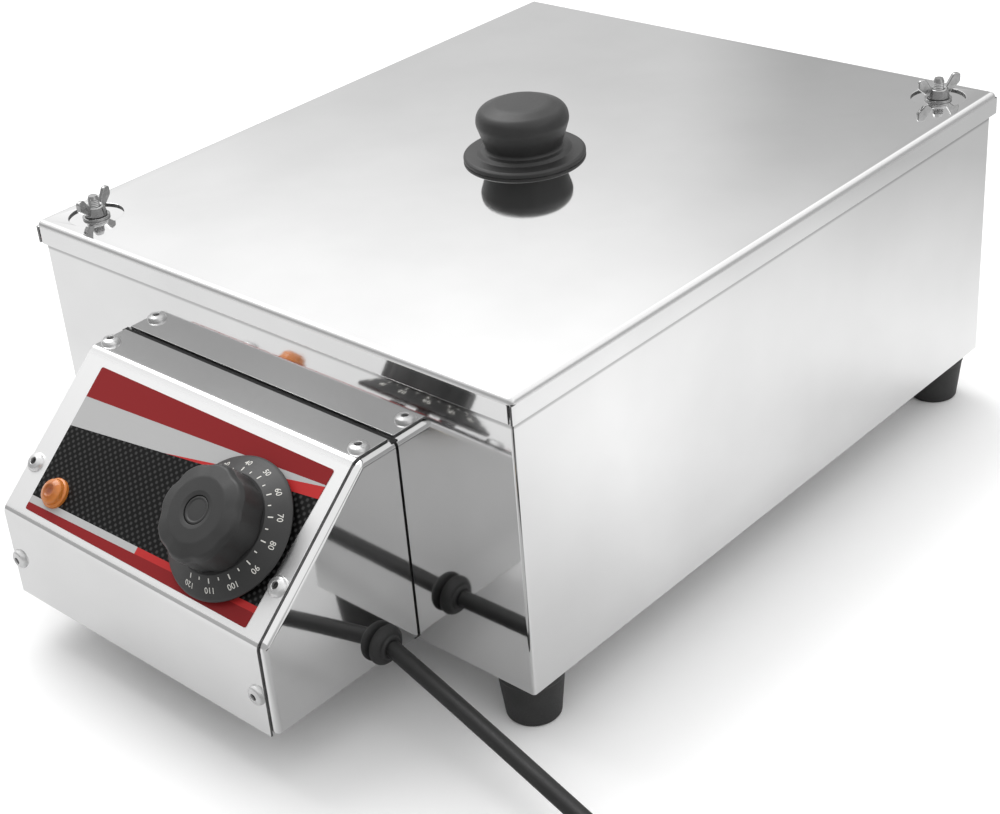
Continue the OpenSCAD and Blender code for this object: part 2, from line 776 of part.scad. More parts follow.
module box_nuts() {
    nut_h = 0.8 * box_stud_d;
    af = 1.75 * box_stud_d;
    color(zinc) at_box_studs() translate([0, 0, seal_t + box_sheet]) difference() {
        hexagon(af, nut_h);
        translate([0, 0, -cut]) cylinder(d = box_stud_d + 2 * run_fit, h = nut_h + 2 * cut);
    }
}

module control_label() {
    through = label_t + 2 * cut;
    color([0.55, 0.12, 0.13]) difference() {
        panel(label_left, label_v) cube([label_w, label_h, label_t]);
        panel(dial_x, dial_v) translate([0, 0, -cut]) panel_holes(through);
        panel(-lamp_x, lamp_v) translate([0, 0, -cut])
            cylinder(d = lamp_body_d + 2 * hole_fit, h = through);
    }
}

// Round shaft with one flat, and the same shape for its bore
module shaft_shape(fit, h) {
    difference() {
        cylinder(d = shaft_d + 2 * fit, h = h);
        translate([-shaft_d, shaft_d / 2 - shaft_flat + fit, -cut])
            cube([2 * shaft_d, shaft_d, h + 2 * cut]);
    }
}

module dial_skirt() {
    color(black) panel(dial_x, dial_v) difference() {
        rotate_extrude() polygon([
            [0, skirt_low],
            [dial_d / 2, skirt_low],
            [dial_d / 2, skirt_low + dial_edge_t],
            [grip_d / 2 + skirt_step, skirt_top],
            [0, skirt_top]]);
        translate([0, 0, skirt_low - cut])
            cylinder(d = shaft_d + 2 * hole_fit, h = skirt_top - skirt_low + 2 * cut);
    }
}

module dial_grip() {
    hollow_r = 12;
    color(black) panel(dial_x, dial_v) difference() {
        rotate_extrude() polygon(concat(
            [[0, skirt_top], [grip_d / 2, skirt_top]],
            [for (a = [0 : 15 : 75])
                [grip_d / 2 - grip_edge * (1 - cos(a)), dial_h - grip_edge * (1 - sin(a))]],
            [[grip_d / 2 - grip_edge, dial_h],
                [cap_d / 2 + dish_edge, dial_h - dish],
                [0, dial_h - dish]]));
        for (i = [0 : grip_hollows - 1])
            rotate([0, 0, -90 + 360 * (i + 0.5) / grip_hollows])
                translate([grip_d / 2 + hollow_r - grip_hollow_depth, 0, skirt_top - cut])
                    cylinder(r = hollow_r, h = dial_h - skirt_top + 2 * cut);
        translate([0, 0, dial_h - cap_depth]) cylinder(d = cap_d + 2 * hole_fit, h = cap_depth + cut);
        translate([0, 0, skirt_top - cut]) shaft_shape(hole_fit, shaft_top + hole_fit - skirt_top + cut);
    }
}

module dial_cap() {
    color([0.14, 0.14, 0.15]) panel(dial_x, dial_v) translate([0, 0, dial_h - cap_depth])
        cylinder(d = cap_d, h = cap_t);
}

module thermostat_shaft() {
    color(zinc) panel(dial_x, dial_v) {
        translate([0, 0, skirt_low]) shaft_shape(0, shaft_top - skirt_low);
        translate([0, 0, -cover_sheet - shaft_depth])
            cylinder(d = shaft_d, h = cover_sheet + shaft_depth + skirt_low);
    }
}

module thermostat_body() {
    color([0.75, 0.74, 0.7]) panel(dial_x, dial_v) difference() {
        union() {
            translate([-thermo_w / 2, -thermo_l / 2, thermo_low]) cube([thermo_w, thermo_l, thermo_depth]);
            for (x = [-1, 1])
                translate([x * tab_x - tab_w / 2, tab_v - tab_t / 2, thermo_low - tab_l])
                    cube([tab_w, tab_t, tab_l]);
        }
        translate([0, 0, -cover_sheet - shaft_depth - bore_end])
            cylinder(d = shaft_d + 2 * run_fit, h = shaft_depth + bore_end + cut);
        for (x = [-1, 1])
            translate([x * thermo_pitch / 2, 0, -cover_sheet - panel_screw_l])
                cylinder(d = panel_screw_d + 2 * hole_fit, h = panel_screw_l + cut);
    }
}

module thermostat_screws() {
    grip = label_t + cover_sheet + panel_screw_l - bore_end;
    color(zinc) panel(dial_x, dial_v) for (x = [-1, 1])
        translate([x * thermo_pitch / 2, 0, label_t]) {
            cylinder(d = panel_screw_head_d, h = panel_screw_head_h);
            translate([0, 0, -grip]) cylinder(d = panel_screw_d, h = grip);
        }
}

module capillary_tube() {
    start = on_panel(dial_x, dial_v + thermo_l / 4, thermo_low);
    wall = [sensor_x, front_y - gland_out, sensor_z];
    bend = wire_path(start, panel_in, wall, rearward, capillary_bend);
    color([0.72, 0.5, 0.35])
        tube(concat(bend, [[sensor_x, bulb_start, sensor_z]]), capillary_d / 2, panel_in, rearward);
}

module sensor_gland() {
    color(brass) {
        difference() {
            union() {
                facing_front(sensor_x, wall_in + gland_in, sensor_z)
                    cylinder(d = gland_d, h = gland_in + casing_sheet + gland_out - cut);
                facing_front(sensor_x, front_y, sensor_z) hexagon(gland_af, gland_head_t);
            }
            facing_front(sensor_x, wall_in + gland_in + cut, sensor_z)
                cylinder(d = capillary_d + 2 * hole_fit, h = gland_in + casing_sheet + gland_out + 2 * cut);
        }
        difference() {
            facing_front(sensor_x, wall_in + gland_head_t, sensor_z) hexagon(gland_af, gland_head_t);
            facing_front(sensor_x, wall_in + gland_head_t + cut, sensor_z)
                cylinder(d = gland_d + 2 * run_fit, h = gland_head_t + 2 * cut);
        }
    }
}

module sensor_bulb() {
    color([0.72, 0.5, 0.35]) facing_front(sensor_x, bulb_start + sensor_l, sensor_z)
        cylinder(d = bulb_d, h = sensor_l);
}

// Upright strip on the casing floor with a turned foot, and holes that carry round pieces
module floor_bracket(left, right, y, top, holes, d, z) {
    color(steel) difference() {
        union() {
            translate([left, y, floor_top]) cube([right - left, bracket_t, top - floor_top]);
            translate([left, y, floor_top]) cube([right - left, bracket_foot, bracket_t]);
        }
        for (x = holes)
            facing_front(x, y + bracket_t + cut, z) cylinder(d = d + 2 * hole_fit, h = bracket_t + 2 * cut);
    }
}

module bulb_bracket() {
    top = sensor_z + bulb_d / 2 + bracket_edge;
    floor_bracket(sensor_x - bulb_d, sensor_x + bulb_d, bulb_bracket_y, top, [sensor_x], bulb_d, sensor_z);
}

module element_bracket() {
    top = leg_z + element_d / 2 + bracket_edge;
    floor_bracket(leg_x[0] - element_d, leg_x[1] + element_d, bracket_y, top, leg_x, element_d, leg_z);
}

module pilot_lamp_lens() {
    edge_h = 1.5;
    dome_r = lamp_d / 2 - 1;
    color([0.95, 0.5, 0.1]) panel(-lamp_x, lamp_v) translate([0, 0, label_t])
        rotate_extrude() polygon(concat(
            [[0, 0], [lamp_d / 2, 0], [lamp_d / 2, edge_h]],
            [for (a = [0 : 15 : 75]) [dome_r * cos(a), edge_h + (lamp_h - edge_h) * sin(a)]],
            [[0, lamp_h]]));
}

module pilot_lamp_body() {
    color([0.9, 0.9, 0.88]) panel(-lamp_x, lamp_v) {
        translate([0, 0, label_t - lamp_body_l]) cylinder(d = lamp_body_d, h = lamp_body_l);
        for (x = [-1, 1])
            translate([x * lamp_tab_x - lamp_tab_w / 2, -tab_t / 2, label_t - lamp_body_l - tab_l])
                cube([lamp_tab_w, tab_t, tab_l]);
    }
}

module pilot_lamp_clip() {
    clip_t = 1.5;
    clip_w = 2.5;
    color(zinc) panel(-lamp_x, lamp_v) translate([0, 0, -cover_sheet - clip_t]) difference() {
        cylinder(d = lamp_body_d + 2 * clip_w, h = clip_t);
        translate([0, 0, -cut]) cylinder(d = lamp_body_d + 2 * hole_fit, h = clip_t + 2 * cut);
    }
}

module heating_element() {
    color([0.45, 0.45, 0.46]) {
        for (x = leg_x)
            facing_front(x, leg_end, leg_z) cylinder(d = element_d, h = element_l + element_out);
        translate([box_x, leg_end, leg_z]) rotate_extrude(angle = 180)
            translate([element_pitch / 2, 0]) circle(d = element_d);
    }
}

module heater_bushings() {
    head_in = wall_in + element_seal_t;
    shank = element_seal_t + casing_sheet + bushing_out;
    color(brass) for (x = leg_x) difference() {
        union() {
            facing_front(x, head_in + bushing_head_t, leg_z) hexagon(bushing_af, bushing_head_t);
            facing_front(x, head_in, leg_z) cylinder(d = bushing_d, h = shank);
        }
        facing_front(x, head_in + bushing_head_t + cut, leg_z)
            cylinder(d = element_d + 2 * hole_fit, h = bushing_head_t + shank + 2 * cut);
    }
}

module heater_seals() {
    color([0.6, 0.15, 0.1]) for (x = leg_x) facing_front(x, wall_in + element_seal_t, leg_z) difference() {
        cylinder(d = bushing_af, h = element_seal_t);
        translate([0, 0, -cut]) cylinder(d = bushing_d + 2 * hole_fit, h = element_seal_t + 2 * cut);
    }
}

module heater_nuts() {
    color(brass) for (x = leg_x) facing_front(x, front_y, leg_z) difference() {
        hexagon(bushing_af, nut_t);
        translate([0, 0, -cut]) cylinder(d = bushing_d + 2 * run_fit, h = nut_t + 2 * cut);
    }
}

module heater_terminals() {
    color([0.92, 0.9, 0.85]) for (x = leg_x) {
        facing_front(x, front_y - element_out, leg_z) cylinder(d = bead_d, h = bead_l);
        translate([x - lug / 2, lug_end, leg_z - lug / 2]) cube([lug, lug_l, lug]);
    }
}

module terminal_block() {
    color([0.93, 0.92, 0.88])
        translate([block_x - block_w / 2, block_y - block_l / 2, box_floor])
            cube([block_w, block_l, block_h]);
}

module terminal_screws() {
    screw_d = 4.5;
    screw_h = 1.5;
    color(brass) for (i = [-1 : 1], x = [-1, 1])
        translate([block_x + x * block_w / 4, block_y + i * block_pitch, box_floor + block_h])
            cylinder(d = screw_d, h = screw_h);
}

module earth_screw() {
    color(zinc) translate([earth_x, earth_y, box_floor]) {
        translate([0, 0, -earth_l]) cylinder(d = box_stud_d, h = earth_l);
        rotate([0, 0, 30]) hexagon(earth_af, earth_h);
    }
}

// Where each of the three ways of the terminal block meets its inner wire
function way(i) = [block_x - block_w / 2, block_y + i * block_pitch, block_z];
function thermo_tab(side) = on_panel(dial_x + side * tab_x, dial_v + tab_v, thermo_low - tab_l);
function lamp_tab(side) = on_panel(-lamp_x + side * lamp_tab_x, lamp_v, label_t - lamp_body_l - tab_l);

// A wire that leaves one place along one direction and meets another along a second one
module wire(p, from, q, into, reach, d = wire_d) {
    tube(wire_path(p, from, q, into, reach), d / 2, from, into);
}

module live_wires() {
    lug_top = [leg_x[1], lug_end + lug_l / 2, leg_z + lug / 2];
    color([0.45, 0.25, 0.12]) {
        wire(thermo_tab(-1), panel_in, way(1), rightward, live_bend);
        wire(thermo_tab(1), panel_in, [leg_x[1], lug_end, leg_z], rearward, lug_bend);
        wire(lamp_tab(1), panel_in, lug_top, downward, lamp_bend);
    }
}

module neutral_wires() {
    lug_side = [leg_x[0] - lug / 2, lug_end + lug_l / 2, leg_z];
    lug_under = [leg_x[0], lug_end + lug_l / 2, leg_z - lug / 2];
    color([0.15, 0.3, 0.6]) {
        wire(lug_under, downward, way(0), rightward, neutral_bend);
        wire(lamp_tab(-1), panel_in, lug_side, rightward, neutral_bend);
    }
}

module earth_wire() {
    screw_side = [earth_x + earth_af / 2, earth_y, box_floor + earth_h / 2];
    color([0.35, 0.6, 0.2]) wire(way(-1), -rightward, screw_side, -rightward, earth_bend);
}

module cord_cores() {
    start = [box_right - tail_in, cord_y, cord_z];
    color([0.35, 0.35, 0.4]) for (i = [-1 : 1])
        wire(start + core_ring * [0, cos(90 - 120 * i), sin(90 - 120 * i)], -rightward,
            [block_x + block_w / 2, block_y + i * block_pitch, block_z], -rightward, core_bend, core_d);
}

module cord_tail() {
    color(black) translate([box_right - tail_in, cord_y, cord_z]) rotate([0, 90, 0])
        cylinder(d = cord_d, h = tail_in + grommet_t + grommet_collar);
}

module cord_grommet() {
    inside = box_sheet + grommet_in_t;
    outside = grommet_t + grommet_collar;
    flange_r = grommet_d / 2 - 1;
    round_r = grommet_t / 2;
    color(black) translate([box_right, cord_y, cord_z]) rotate([0, 90, 0]) difference() {
        rotate_extrude() polygon(concat(
            [[0, -inside],
                [flange_r, -inside],
                [flange_r, -box_sheet],
                [grommet_neck_d / 2, -box_sheet],
                [grommet_neck_d / 2, 0]],
            [for (a = [-75 : 25 : 75])
                [grommet_d / 2 - round_r * (1 - cos(a)), round_r * (1 + sin(a))]],
            [[cord_r + 2 * collar_wall, grommet_t],
                [cord_r + collar_wall, outside],
                [0, outside]]));
        translate([0, 0, -inside - cut]) cylinder(d = cord_d + 2 * run_fit, h = inside + outside + 2 * cut);
    }
}

module power_cord() {
    color(black) tube(cord_route, cord_r, rightward, heading_dir, 10);
}

module power_cord_coil() {
    color(black) tube(coil_path, cord_r, heading_dir, plug_dir, coil_sides);
}

// Flat strap around all the turns of the coil at one place
module cord_tie() {
    inner_w = coil_out_r - coil_r + cord_d + 2 * tie_fit;
    inner_h = cord_d + coil_pitch + 2 * tie_fit;
    color([0.2, 0.2, 0.21]) translate([coil_mid[0], coil_mid[1], 0]) rotate([0, 0, tie_angle])
        translate([coil_r - cord_r - tie_fit, 0, 0]) difference() {
            translate([-tie_t, -tie_w / 2, 0]) cube([inner_w + 2 * tie_t, tie_w, inner_h + 2 * tie_t]);
            translate([0, -tie_w / 2 - cut, tie_t]) cube([inner_w, tie_w + 2 * cut, inner_h]);
        }
}

// Children point along the plug, with their Z from the cord to the pins
module along_plug() {
    translate(plug_start) rotate([90, 0, -90]) children();
}

module plug_body() {
    corner = 6;
    t = 2 * plug_z;
    relief_wall = 0.8;
    relief_end = 4;
    color(black) along_plug() {
        cylinder(r1 = cord_r + relief_wall, r2 = cord_r + relief_end, h = plug_relief_l);
        translate([0, 0, plug_relief_l]) linear_extrude(plug_l) polygon([
            [-plug_w / 2, -t / 2 + corner], [-plug_w / 2 + corner, -t / 2],
            [plug_w / 2 - corner, -t / 2], [plug_w / 2, -t / 2 + corner],
            [plug_w / 2, t / 2 - corner], [plug_w / 2 - corner, t / 2],
            [-plug_w / 2 + corner, t / 2], [-plug_w / 2, t / 2 - corner]]);
    }
}

module plug_pins() {
    earth_rise = 3;
    color(brass) along_plug() translate([0, 0, plug_relief_l + plug_l]) {
        for (x = [-1, 1]) translate([x * pin_pitch / 2, 0, 0]) cylinder(d = pin_d, h = pin_l);
        translate([0, earth_rise, 0]) cylinder(d = pin_d, h = pin_l);
    }
}

casing_wrap();
casing_floor();
inner_pan();
rim_studs();
front_washer();
rear_washer();
wing_nut_front();
wing_nut_rear();
lid();
lid_knob();
lid_knob_washer();
lid_knob_screw();
foot_front_left();
foot_front_right();
foot_rear_left();
foot_rear_right();
foot_studs();
foot_nuts();
control_box_body();
control_cover();
cover_rivets();
box_seal();
box_studs();
box_nuts();
control_label();
dial_skirt();
dial_grip();
dial_cap();
thermostat_shaft();
thermostat_body();
thermostat_screws();
capillary_tube();
sensor_gland();
sensor_bulb();
bulb_bracket();
pilot_lamp_lens();
pilot_lamp_body();
pilot_lamp_clip();
heating_element();
heater_bushings();
heater_seals();
heater_nuts();
heater_terminals();
element_bracket();
terminal_block();
terminal_screws();
earth_screw();
live_wires();
neutral_wires();
earth_wire();
cord_cores();
cord_tail();
cord_grommet();
power_cord();
power_cord_coil();
cord_tie();
plug_body();
plug_pins();
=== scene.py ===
import json
import math
import bpy
import bmesh
from mathutils import Matrix, Vector


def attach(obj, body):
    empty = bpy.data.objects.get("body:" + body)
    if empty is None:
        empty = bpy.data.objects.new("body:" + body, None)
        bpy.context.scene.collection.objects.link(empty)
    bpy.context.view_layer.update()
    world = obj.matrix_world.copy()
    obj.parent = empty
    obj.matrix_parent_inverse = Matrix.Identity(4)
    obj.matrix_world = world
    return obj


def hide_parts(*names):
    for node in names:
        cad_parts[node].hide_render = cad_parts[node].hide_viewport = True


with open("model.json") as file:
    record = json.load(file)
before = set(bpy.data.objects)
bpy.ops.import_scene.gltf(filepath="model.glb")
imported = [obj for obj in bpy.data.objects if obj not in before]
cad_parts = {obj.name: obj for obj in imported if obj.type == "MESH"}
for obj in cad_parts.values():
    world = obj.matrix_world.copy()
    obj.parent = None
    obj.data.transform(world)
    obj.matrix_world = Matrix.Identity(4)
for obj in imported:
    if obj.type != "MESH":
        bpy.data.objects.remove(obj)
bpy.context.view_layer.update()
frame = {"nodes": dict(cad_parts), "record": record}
cadNodes = frame["nodes"]
scene = bpy.context.scene
scene.view_settings.view_transform = "Standard"
mm = 0.001  # pieces are drawn in millimetres and brought to metres when they are finished
quarter = math.pi / 2
print("frame loaded:", len(cadNodes), "nodes")


# camera at the photograph's viewing angle
cameraLook = {
    "place": (0.51539, -0.52624, 0.47121),
    "azimuth": 46.132,
    "elevation": 29.262,
    "roll": -5.953,
    "lens": 67.185,
    "sensor": 36.0,
    "shift": (0.06581, -0.02507),
    "nearest": 0.01,
}


def addObject(name, data):
    made = bpy.data.objects.new(name, data)
    scene.collection.objects.link(made)
    return made


def aimCamera(look):
    azimuth, elevation, roll = (math.radians(look[k]) for k in ("azimuth", "elevation", "roll"))
    level = math.cos(elevation)
    back = Vector((math.sin(azimuth) * level, -math.cos(azimuth) * level, math.sin(elevation)))
    right = (-back).cross(Vector((0, 0, 1))).normalized()
    up = right.cross(-back)
    rolledRight = math.cos(roll) * right + math.sin(roll) * up
    rolledUp = math.cos(roll) * up - math.sin(roll) * right
    camera = addObject("camera", bpy.data.cameras.new("camera"))
    turn = Matrix((rolledRight, rolledUp, back)).transposed().to_4x4()
    camera.matrix_world = Matrix.Translation(look["place"]) @ turn
    camera.data.sensor_width = look["sensor"]
    camera.data.lens = look["lens"]
    camera.data.shift_x, camera.data.shift_y = look["shift"]
    camera.data.clip_start = look["nearest"]
    scene.camera = camera


aimCamera(cameraLook)
print("camera aimed")


# shared surface effects
grainLook = {
    "patchDetail": 3.0,
    "patchRoughness": 0.55,
    "grainDetail": 4.0,
    "grainRoughness": 0.6,
}


def addNode(tree, kind, settings=None, **values):
    node = tree.nodes.new(kind)
    for key, value in (settings or {}).items():
        setattr(node, key, value)
    for key, value in values.items():
        node.inputs[key.replace("_", " ")].default_value = value
    return node


def feed(tree, source, node, socket):
    tree.links.new(source, node.inputs[socket])


def makeGrainGroup(look):
    # broad patches for colour and a fine grain for gloss and relief
    group = bpy.data.node_groups.new("surfaceGrain", "ShaderNodeTree")
    for name, direction, kind in (("Scale", "INPUT", "Float"), ("Patch Scale", "INPUT", "Float"),
                                  ("Stretch", "INPUT", "Vector"), ("Patch", "OUTPUT", "Float"),
                                  ("Grain", "OUTPUT", "Float")):
        group.interface.new_socket(name=name, in_out=direction, socket_type="NodeSocket" + kind)
    given, result = group.nodes.new("NodeGroupInput"), group.nodes.new("NodeGroupOutput")
    place = addNode(group, "ShaderNodeTexCoord")
    stretched = addNode(group, "ShaderNodeVectorMath", {"operation": "MULTIPLY"})
    patch, grain = (addNode(group, "ShaderNodeTexNoise", Detail=look[kind + "Detail"],
                            Roughness=look[kind + "Roughness"]) for kind in ("patch", "grain"))
    feed(group, place.outputs["Object"], stretched, 0)
    feed(group, given.outputs["Stretch"], stretched, 1)
    feed(group, place.outputs["Object"], patch, "Vector")
    feed(group, given.outputs["Patch Scale"], patch, "Scale")
    feed(group, stretched.outputs["Vector"], grain, "Vector")
    feed(group, given.outputs["Scale"], grain, "Scale")
    feed(group, patch.outputs["Fac"], result, "Patch")
    feed(group, grain.outputs["Fac"], result, "Grain")
    return group


surfaceGrain = makeGrainGroup(grainLook)


def spread(tree, source, low, high, fromLow=0.3, fromHigh=0.7, kind="LINEAR"):
    # noise lies mostly between 0.3 and 0.7
    node = addNode(tree, "ShaderNodeMapRange", {"interpolation_type": kind}, From_Min=fromLow,
                   From_Max=fromHigh, To_Min=low, To_Max=high)
    feed(tree, source, node, "Value")
    return node.outputs["Result"]


def blendColours(tree, mask, below, above):
    # mix of two colours; each is a socket or a plain colour
    node = addNode(tree, "ShaderNodeMix", {"data_type": "RGBA"})
    for socket, colour in ((node.inputs[6], below), (node.inputs[7], above)):
        if isinstance(colour, tuple):
            socket.default_value = (*colour, 1)
        else:
            tree.links.new(colour, socket)
    feed(tree, mask, node, 0)
    return node.outputs[2]


def calculate(tree, operation, a, b=None, c=None):
    node = addNode(tree, "ShaderNodeMath", {"operation": operation})
    for socket, value in zip(node.inputs, (a, b, c)):
        if isinstance(value, (int, float)):
            socket.default_value = value
        elif value is not None:
            tree.links.new(value, socket)
    return node.outputs[0]


def blendValues(tree, mask, below, above):
    return calculate(tree, "MULTIPLY_ADD", mask, calculate(tree, "SUBTRACT", above, below), below)


def coordinates(tree, source):
    parts = addNode(tree, "ShaderNodeSeparateXYZ")
    feed(tree, source, parts, "Vector")
    return [parts.outputs[k] for k in "XYZ"]


def startMaterial(name, metallic=0.0):
    material = bpy.data.materials.new(name)
    material.use_nodes = True
    shader = material.node_tree.nodes["Principled BSDF"]
    shader.inputs["Metallic"].default_value = metallic
    return material, material.node_tree, shader


def addGrain(tree, scale, patchScale, stretch=(1, 1, 1)):
    return addNode(tree, "ShaderNodeGroup", {"node_tree": surfaceGrain}, Scale=scale, Patch_Scale=patchScale,
                   Stretch=stretch)


def addRelief(tree, height, strength, depth):
    node = addNode(tree, "ShaderNodeBump", Strength=strength, Distance=depth * mm)
    feed(tree, height, node, "Height")
    return node


def makeFinish(name, look):
    material, tree, shader = startMaterial(name, look.get("metallic", 0.0))
    grain = addGrain(tree, look["grain"], look["patch"], look.get("stretch", (1, 1, 1)))
    tone = blendColours(tree, spread(tree, grain.outputs["Patch"], 0, 1), *look["tones"])
    rough = spread(tree, grain.outputs["Grain"], *look["roughness"])
    place = addNode(tree, "ShaderNodeTexCoord").outputs["Object"]
    if "band" in look:  # strip between two heights, such as a fold or a painted shade line, with its own tone and gloss
        low, high, fade, bandTone, bandRough = look["band"]
        z = coordinates(tree, place)[2]
        mask = calculate(tree, "MULTIPLY", spread(tree, z, 0, 1, (low - fade) * mm, low * mm),
                         spread(tree, z, 1, 0, high * mm, (high + fade) * mm))
        tone = blendColours(tree, mask, tone, bandTone)
        rough = blendValues(tree, mask, rough, bandRough)
    feed(tree, tone, shader, "Base Color")
    feed(tree, rough, shader, "Roughness")
    relief = addRelief(tree, grain.outputs["Grain"], look["relief"], look["depth"])
    feed(tree, relief.outputs["Normal"], shader, "Normal")
    if "wave" in look:  # slow unevenness of thin sheet
        wave = addNode(tree, "ShaderNodeTexNoise", Scale=look["wave"][0], Detail=1.0)
        feed(tree, place, wave, "Vector")
        swell = addRelief(tree, wave.outputs["Fac"], 1.0, look["wave"][1])
        feed(tree, swell.outputs["Normal"], relief, "Normal")
    return material


def grey(value):
    return (value, value, value)


# one look for each finish: two tones, gloss range, grain size and relief in millimetres
steelSheet = dict(tones=(grey(0.80), grey(0.86)), metallic=1.0, grain=260.0, patch=14.0, stretch=(1, 8, 8),
                  depth=0.02, wave=(7.0, 0.12))
polishedSheet = dict(steelSheet, roughness=(0.035, 0.075), relief=0.02)
wireCover = dict(roughness=(0.32, 0.46), grain=1600.0, patch=120.0, relief=0.1, depth=0.04)
finishLooks = {
    "polished_steel": polishedSheet,
    "satin_steel": dict(steelSheet, roughness=(0.08, 0.12), relief=0.03,
                        band=(66.5, 112.5, 1.5, grey(0.95), 0.36)),  # the sloped panel is duller
    # cut edges: dull steel, painted near black as painted shade of the gaps beside them
    "shaded_sheared_edge": dict(tones=(grey(0.10), grey(0.17)), roughness=(0.4, 0.6), metallic=0.6, grain=900.0,
                         patch=150.0, relief=0.3, depth=0.06),
    "satin_rivet": dict(tones=(grey(0.66), grey(0.78)), roughness=(0.26, 0.38), metallic=0.85, grain=1200.0,
                        patch=200.0, relief=0.12, depth=0.05),
    # rivet stems painted near black: painted shade inside the rivets' holes
    "stem_hole_shade": dict(tones=(grey(0.02), grey(0.04)), roughness=(0.4, 0.6), metallic=0.3, grain=1500.0,
                      patch=300.0, relief=0.2, depth=0.05),
    "zinc_steel": dict(tones=(grey(0.34), grey(0.48)), roughness=(0.15, 0.28), metallic=1.0, grain=900.0,
                       patch=220.0, relief=0.1, depth=0.05),
    "black_moulding": dict(tones=(grey(0.024), grey(0.033)), roughness=(0.38, 0.52), grain=2600.0, patch=60.0,
                           relief=0.22, depth=0.06),
    "black_rubber": dict(tones=(grey(0.022), grey(0.034)), roughness=(0.5, 0.68), grain=1800.0, patch=70.0,
                         relief=0.3, depth=0.08),
    "cord_sheath": dict(tones=(grey(0.011), grey(0.017)), roughness=(0.4, 0.55), grain=1500.0, patch=90.0,
                        relief=0.2, depth=0.06),
    "cord_tie": dict(tones=(grey(0.04), grey(0.06)), roughness=(0.4, 0.6), grain=1600.0, patch=120.0,
                     stretch=(1, 1, 4), relief=0.35, depth=0.1),
    "white_plastic": dict(tones=((0.78, 0.77, 0.72), (0.84, 0.83, 0.79)), roughness=(0.4, 0.55), grain=1500.0,
                          patch=80.0, relief=0.15, depth=0.05),
    "thermostat_case": dict(tones=((0.52, 0.51, 0.47), (0.64, 0.63, 0.59)), roughness=(0.3, 0.5),
                            metallic=1.0, grain=700.0, patch=90.0, stretch=(1, 6, 1), relief=0.15,
                            depth=0.05),
    "brass": dict(tones=((0.66, 0.48, 0.2), (0.78, 0.6, 0.3)), roughness=(0.2, 0.36), metallic=1.0,
                  grain=900.0, patch=160.0, stretch=(1, 1, 6), relief=0.12, depth=0.05),
    "copper": dict(tones=((0.6, 0.33, 0.2), (0.74, 0.45, 0.3)), roughness=(0.22, 0.4), metallic=1.0,
                   grain=800.0, patch=120.0, relief=0.12, depth=0.05),
    "element_sheath": dict(tones=((0.28, 0.27, 0.27), (0.42, 0.41, 0.4)), roughness=(0.32, 0.5), metallic=1.0,
                           grain=700.0, patch=60.0, stretch=(4, 1, 4), relief=0.15, depth=0.06),
    "red_seal": dict(tones=((0.38, 0.06, 0.04), (0.5, 0.1, 0.06)), roughness=(0.5, 0.66), grain=1500.0,
                     patch=150.0, relief=0.2, depth=0.06),
    "brown_wire": dict(wireCover, tones=((0.17, 0.065, 0.025), (0.23, 0.095, 0.035))),
    "blue_wire": dict(wireCover, tones=((0.025, 0.1, 0.4), (0.035, 0.14, 0.5))),
    "green_wire": dict(wireCover, tones=((0.08, 0.36, 0.05), (0.5, 0.5, 0.05)), patch=60.0),
    "grey_wire": dict(wireCover, tones=((0.22, 0.22, 0.24), (0.29, 0.29, 0.31))),
    "wall_steel": dict(polishedSheet, band=(140.3, 142.6, 0.9, grey(0.52), 0.1)),  # painted shade: a darker line on the wall just under the lid's skirt
    "lid_steel": dict(polishedSheet, band=(150.6, 152.7, 0.25, grey(0.74), 0.3)),  # duller along the folds
}
finishes = {slot: makeFinish(slot, look) for slot, look in finishLooks.items()}
print("materials made:", len(finishes))


# helpers for all pieces
def at(x, y, z):
    return Matrix.Translation((x, y, z))


def turnedBy(degrees):
    return Matrix.Rotation(math.radians(degrees), 4, "Z")


foldAngle = 1.0  # edges that turn by more radians are folds and rims
sheetTolerance = 0.02
weldDistance = 1e-4
levelWeight = 100  # large faces rule the shading


def vertsOf(made):
    return [item for item in made if isinstance(item, bmesh.types.BMVert)]


def edgesOf(made):
    return [item for item in made if isinstance(item, bmesh.types.BMEdge)]


def sharpEdges(bm):
    return [edge for edge in bm.edges if len(edge.link_faces) == 2 and edge.calc_face_angle() > foldAngle]


def openEdges(bm):
    return [edge for edge in bm.edges if len(edge.link_faces) == 1]


def faceTowards(bm, way):
    return max(bm.faces, key=lambda face: face.calc_center_median().dot(Vector(way)))


def roundOff(bm, geom, offset, segments, affect="EDGES"):
    bmesh.ops.bevel(bm, geom=geom, offset=offset, affect=affect, segments=segments, profile=0.5, material=-1)


def pullEdges(bm, edges, way):
    made = bmesh.ops.extrude_edge_only(bm, edges=edges)["geom"]
    bmesh.ops.translate(bm, vec=way, verts=vertsOf(made))
    return made


def pullFaces(bm, faces, way):
    made = bmesh.ops.extrude_face_region(bm, geom=faces)["geom"]
    bmesh.ops.translate(bm, vec=way, verts=vertsOf(made))


def pullOutline(bm, way):
    pullFaces(bm, bmesh.ops.contextual_create(bm, geom=bm.edges)["faces"], way)


def faceOutwards(bm):
    bmesh.ops.recalc_face_normals(bm, faces=bm.faces)


def faceUp(bm):
    # for an open sheet: its topmost face looks up
    faceOutwards(bm)
    if faceTowards(bm, (0, 0, 1)).normal.z < 0:
        bmesh.ops.reverse_faces(bm, faces=bm.faces)


